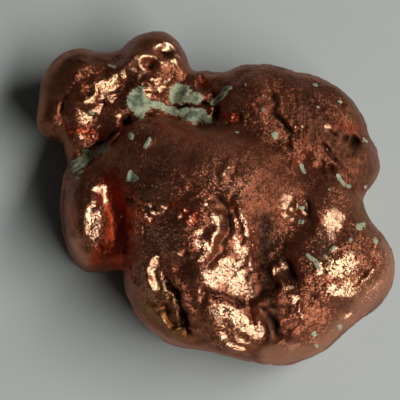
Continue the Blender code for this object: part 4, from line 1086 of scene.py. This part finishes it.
def copper(finish):
    """Brown tarnish over copper, red, golden, or darkened by grime and painted shade where the skin's
    attributes say so, with painted highlights and painted sheen on it, and green crusts."""
    nodes = Nodes("native_copper")
    where = nodes.node("ShaderNodeTexCoord", output="Object")
    fine = nodes.noise(where, FINE_NOISE, detail=3.0, roughness=0.65)
    middling = nodes.noise(where, MIDDLING_NOISE, detail=4.0, roughness=0.6)
    broad = nodes.noise(where, BROAD_NOISE, detail=5.0, roughness=0.65)
    facets, chance = nodes.facets(where, FACET_CELLS)
    speckle, ragged, patchy = fine - 0.5, middling - 0.5, broad - 0.5
    hollow = nodes.attribute("hollow")

    # Each share is an attribute that the noises make ragged. Hollows are darkened with painted shade and made
    # less bright.
    glint = nodes.smooth(nodes.attribute("glint") * 0.42 + chance - 0.05 * hollow, low=1.02, high=1.12)
    bright = nodes.smooth(
        nodes.attribute("bright") + ragged + 0.7 * speckle - 0.12 * hollow, low=0.30, high=0.66)
    red = nodes.smooth(nodes.attribute("red") + 0.5 * ragged, low=0.20, high=0.95)
    brass = nodes.smooth(nodes.attribute("brass") + 0.4 * patchy, low=0.20, high=1.0)
    painted_sheen = nodes.smooth(nodes.attribute("painted_sheen") + 0.4 * ragged, low=0.15, high=1.0)
    # Painted shade: concave metal, by its hollow attribute, is darkened along with the dark stains.
    grime_and_shade = nodes.smooth(
        nodes.attribute("dark") + 0.30 * hollow + 0.9 * ragged + 0.5 * patchy, low=0.25, high=1.1)
    crust = nodes.attribute("crust")
    crusted = nodes.smooth(crust + 0.9 * ragged + 0.8 * speckle, low=0.46, high=0.58)
    old = nodes.smooth(crust + 2.2 * ragged + 0.8 * patchy, low=0.70, high=1.35)

    browner = nodes.smooth(broad, low=0.40, high=0.62)
    colour = nodes.mix(browner, tuple(finish.umber), tuple(finish.brown))
    colour = nodes.mix(brass, colour, tuple(finish.brass))
    colour = nodes.mix(painted_sheen, colour, tuple(finish.painted_sheen))
    colour = nodes.mix(red, colour, tuple(finish.red))
    colour = nodes.mix(grime_and_shade, colour, tuple(finish.grime_and_shade))
    # Painted highlights and painted glints: bright and glinting places take the lighter highlit colour,
    # golden where brassy.
    highlit = nodes.mix(0.75 * brass, tuple(finish.highlit), tuple(finish.golden_highlit))
    colour = nodes.mix(nodes.larger(bright, 0.5 * glint), colour, highlit)
    green = nodes.mix(old, tuple(finish.crust), tuple(finish.old_crust))
    colour = nodes.mix(crusted, colour, green)
    nodes.feed(nodes.shader.inputs["Base Color"], colour)
    metal = 1.0 - crusted
    matte = nodes.attribute("matte")
    shine = nodes.larger(bright, glint)
    rough = finish.tarnish + (finish.matte - finish.tarnish) * matte
    rough = rough + (finish.gloss - finish.tarnish) * shine
    nodes.feed(nodes.shader.inputs["Roughness"], rough * metal + 0.9 * crusted)
    nodes.feed(nodes.shader.inputs["Metallic"], metal)

    grained = 1.0 - 0.85 * nodes.attribute("smooth")
    height = finish.facet_tilt * facets * grained * (1.0 + 0.8 * glint - 0.35 * bright)
    height = height + FINE_GRAIN * fine * grained
    for angle in SCRATCH_ANGLES:
        along = nodes.node(
            "ShaderNodeMapping", {},
            {"Vector": where, "Rotation": (0.0, 0.0, angle), "Scale": (1.0, SCRATCH_STRETCH, 1.0)})
        height = height + finish.scratch * nodes.noise(along, SCRATCH_NOISE, detail=1.0) * matte
    bump = nodes.node("ShaderNodeBump", {}, {"Strength": 1.0, "Distance": 1.0, "Height": height})
    nodes.feed(nodes.shader.inputs["Normal"], bump)
    return nodes.material


FINISHES = ("bright", "glint", "painted_sheen", "red", "brass", "dark", "crust", "smooth", "matte")


# ---- the operators ----


class NUGGET_OT_metal(bpy.types.Operator):
    """Makes the nugget's skin and its metal"""

    bl_idname = "nugget.metal"
    bl_label = "Copper nugget"

    def execute(self, context):
        scene = context.scene
        points, corners, edges = settled_skin()
        points, normal, stains = marked(points, scene.nugget_shape)
        places = fitted(to_table(points))
        mesh = bpy.data.meshes.new("copper_skin")
        mesh.vertices.add(len(places))
        mesh.vertices.foreach_set("co", places.ravel())
        mesh.loops.add(corners.size)
        mesh.loops.foreach_set("vertex_index", corners.ravel())
        mesh.polygons.add(len(corners))
        mesh.polygons.foreach_set("loop_start", np.arange(0, corners.size, 4))
        mesh.update(calc_edges=True)
        mesh.validate()
        mesh.shade_smooth()
        # Painted highlight: bright stains show in full only on metal facing the key light's reflection, and
        # all such metal is painted a little lighter as well.
        facing_key = lit(mesh)
        shown = OFF_HIGHLIGHT_SHARE + (1.0 - OFF_HIGHLIGHT_SHARE) * facing_key
        stains["bright"] = stains["bright"] * shown + scene.nugget_finish.painted_highlight * facing_key
        kept = {name: stains[name] for name in FINISHES}
        for name, values in {**kept, "hollow": hollowness(points, normal, edges)}.items():
            mesh.attributes.new(name, "FLOAT", "POINT").data.foreach_set("value", values)
        mesh.materials.append(copper(scene.nugget_finish))
        skin = bpy.data.objects.new("copper_skin", mesh)
        scene.collection.objects.link(skin)
        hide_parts("nugget")
        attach(skin, "root")
        return {"FINISHED"}


def softbox(name, direction, distance, size, power):
    """A rectangular area light that looks at the nugget from a direction (azimuth, elevation)."""
    azimuth, elevation = (radians(angle) for angle in direction)
    towards = Vector((cos(elevation) * sin(azimuth), -cos(elevation) * cos(azimuth), sin(elevation)))
    light = bpy.data.lights.new(name, "AREA")
    light.shape = "RECTANGLE"
    light.size, light.size_y = size
    light.energy = power
    lamp = bpy.data.objects.new(name, light)
    lamp.location = towards * distance
    lamp.rotation_euler = towards.to_track_quat("Z", "Y").to_euler()
    bpy.context.scene.collection.objects.link(lamp)


class NUGGET_OT_stage(bpy.types.Operator):
    """Makes the paper floor, the soft lights and the camera"""

    bl_idname = "nugget.stage"
    bl_label = "Stage"

    def execute(self, context):
        scene = context.scene
        look = scene.nugget_stage
        half = FLOOR_HALF
        corners = [(-half, -half, 0), (half, -half, 0), (half, half, 0), (-half, half, 0)]
        mesh = bpy.data.meshes.new("floor")
        mesh.from_pydata(corners, [], [(0, 1, 2, 3)])
        paper = Nodes("paper")
        paper.feed(paper.shader.inputs["Base Color"], tuple(look.floor))
        paper.feed(paper.shader.inputs["Roughness"], 0.9)
        mesh.materials.append(paper.material)
        floor = bpy.data.objects.new("floor", mesh)
        scene.collection.objects.link(floor)

        softbox("window", direction=(69.0, 50.0), distance=0.45, size=(0.56, 0.14), power=look.key_power)
        softbox("front_light", direction=(58.0, 24.0), distance=0.50, size=(0.22, 0.15), power=0.18)

        world = bpy.data.worlds.new("room")
        world.use_nodes = True
        background = world.node_tree.nodes["Background"]
        background.inputs["Color"].default_value = (0.92, 1.0, 0.97, 1.0)
        background.inputs["Strength"].default_value = 0.02
        scene.world = world
        scene.view_settings.view_transform = "Standard"

        camera = bpy.data.cameras.new("camera")
        camera.sensor_width = 36.0
        camera.lens = look.camera_distance / (VIEW_WIDTH * MM) * camera.sensor_width
        camera.clip_start = 0.01
        eye = bpy.data.objects.new("camera", camera)
        back = Vector((0.0, -cos(look.camera_elevation), sin(look.camera_elevation)))
        target = Vector(TARGET) * MM
        eye.location = target + back * look.camera_distance
        eye.rotation_euler = back.to_track_quat("Z", "Y").to_euler()
        scene.collection.objects.link(eye)
        scene.camera = eye
        return {"FINISHED"}


class NUGGET_PT_panel(bpy.types.Panel):
    """Lists the nugget's operators and settings"""

    bl_label = "Copper nugget"
    bl_space_type = "VIEW_3D"
    bl_region_type = "UI"
    bl_category = "Nugget"

    def draw(self, context):
        layout = self.layout
        for group in (context.scene.nugget_shape, context.scene.nugget_finish, context.scene.nugget_stage):
            box = layout.box()
            for name in group.__annotations__:
                box.prop(group, name)
        for operator in (NUGGET_OT_metal, NUGGET_OT_stage):
            layout.operator(operator.bl_idname)


GROUPS = {"nugget_shape": NuggetShape, "nugget_finish": NuggetFinish, "nugget_stage": NuggetStage}
CLASSES = (*GROUPS.values(), NUGGET_OT_metal, NUGGET_OT_stage, NUGGET_PT_panel)


def register():
    for cls in CLASSES:
        bpy.utils.register_class(cls)
    for name, group in GROUPS.items():
        setattr(bpy.types.Scene, name, PointerProperty(type=group))


def unregister():
    for name in GROUPS:
        delattr(bpy.types.Scene, name)
    for cls in reversed(CLASSES):
        bpy.utils.unregister_class(cls)


def main():
    register()
    bpy.ops.nugget.metal()
    bpy.ops.nugget.stage()


if __name__ == "__main__":
    main()
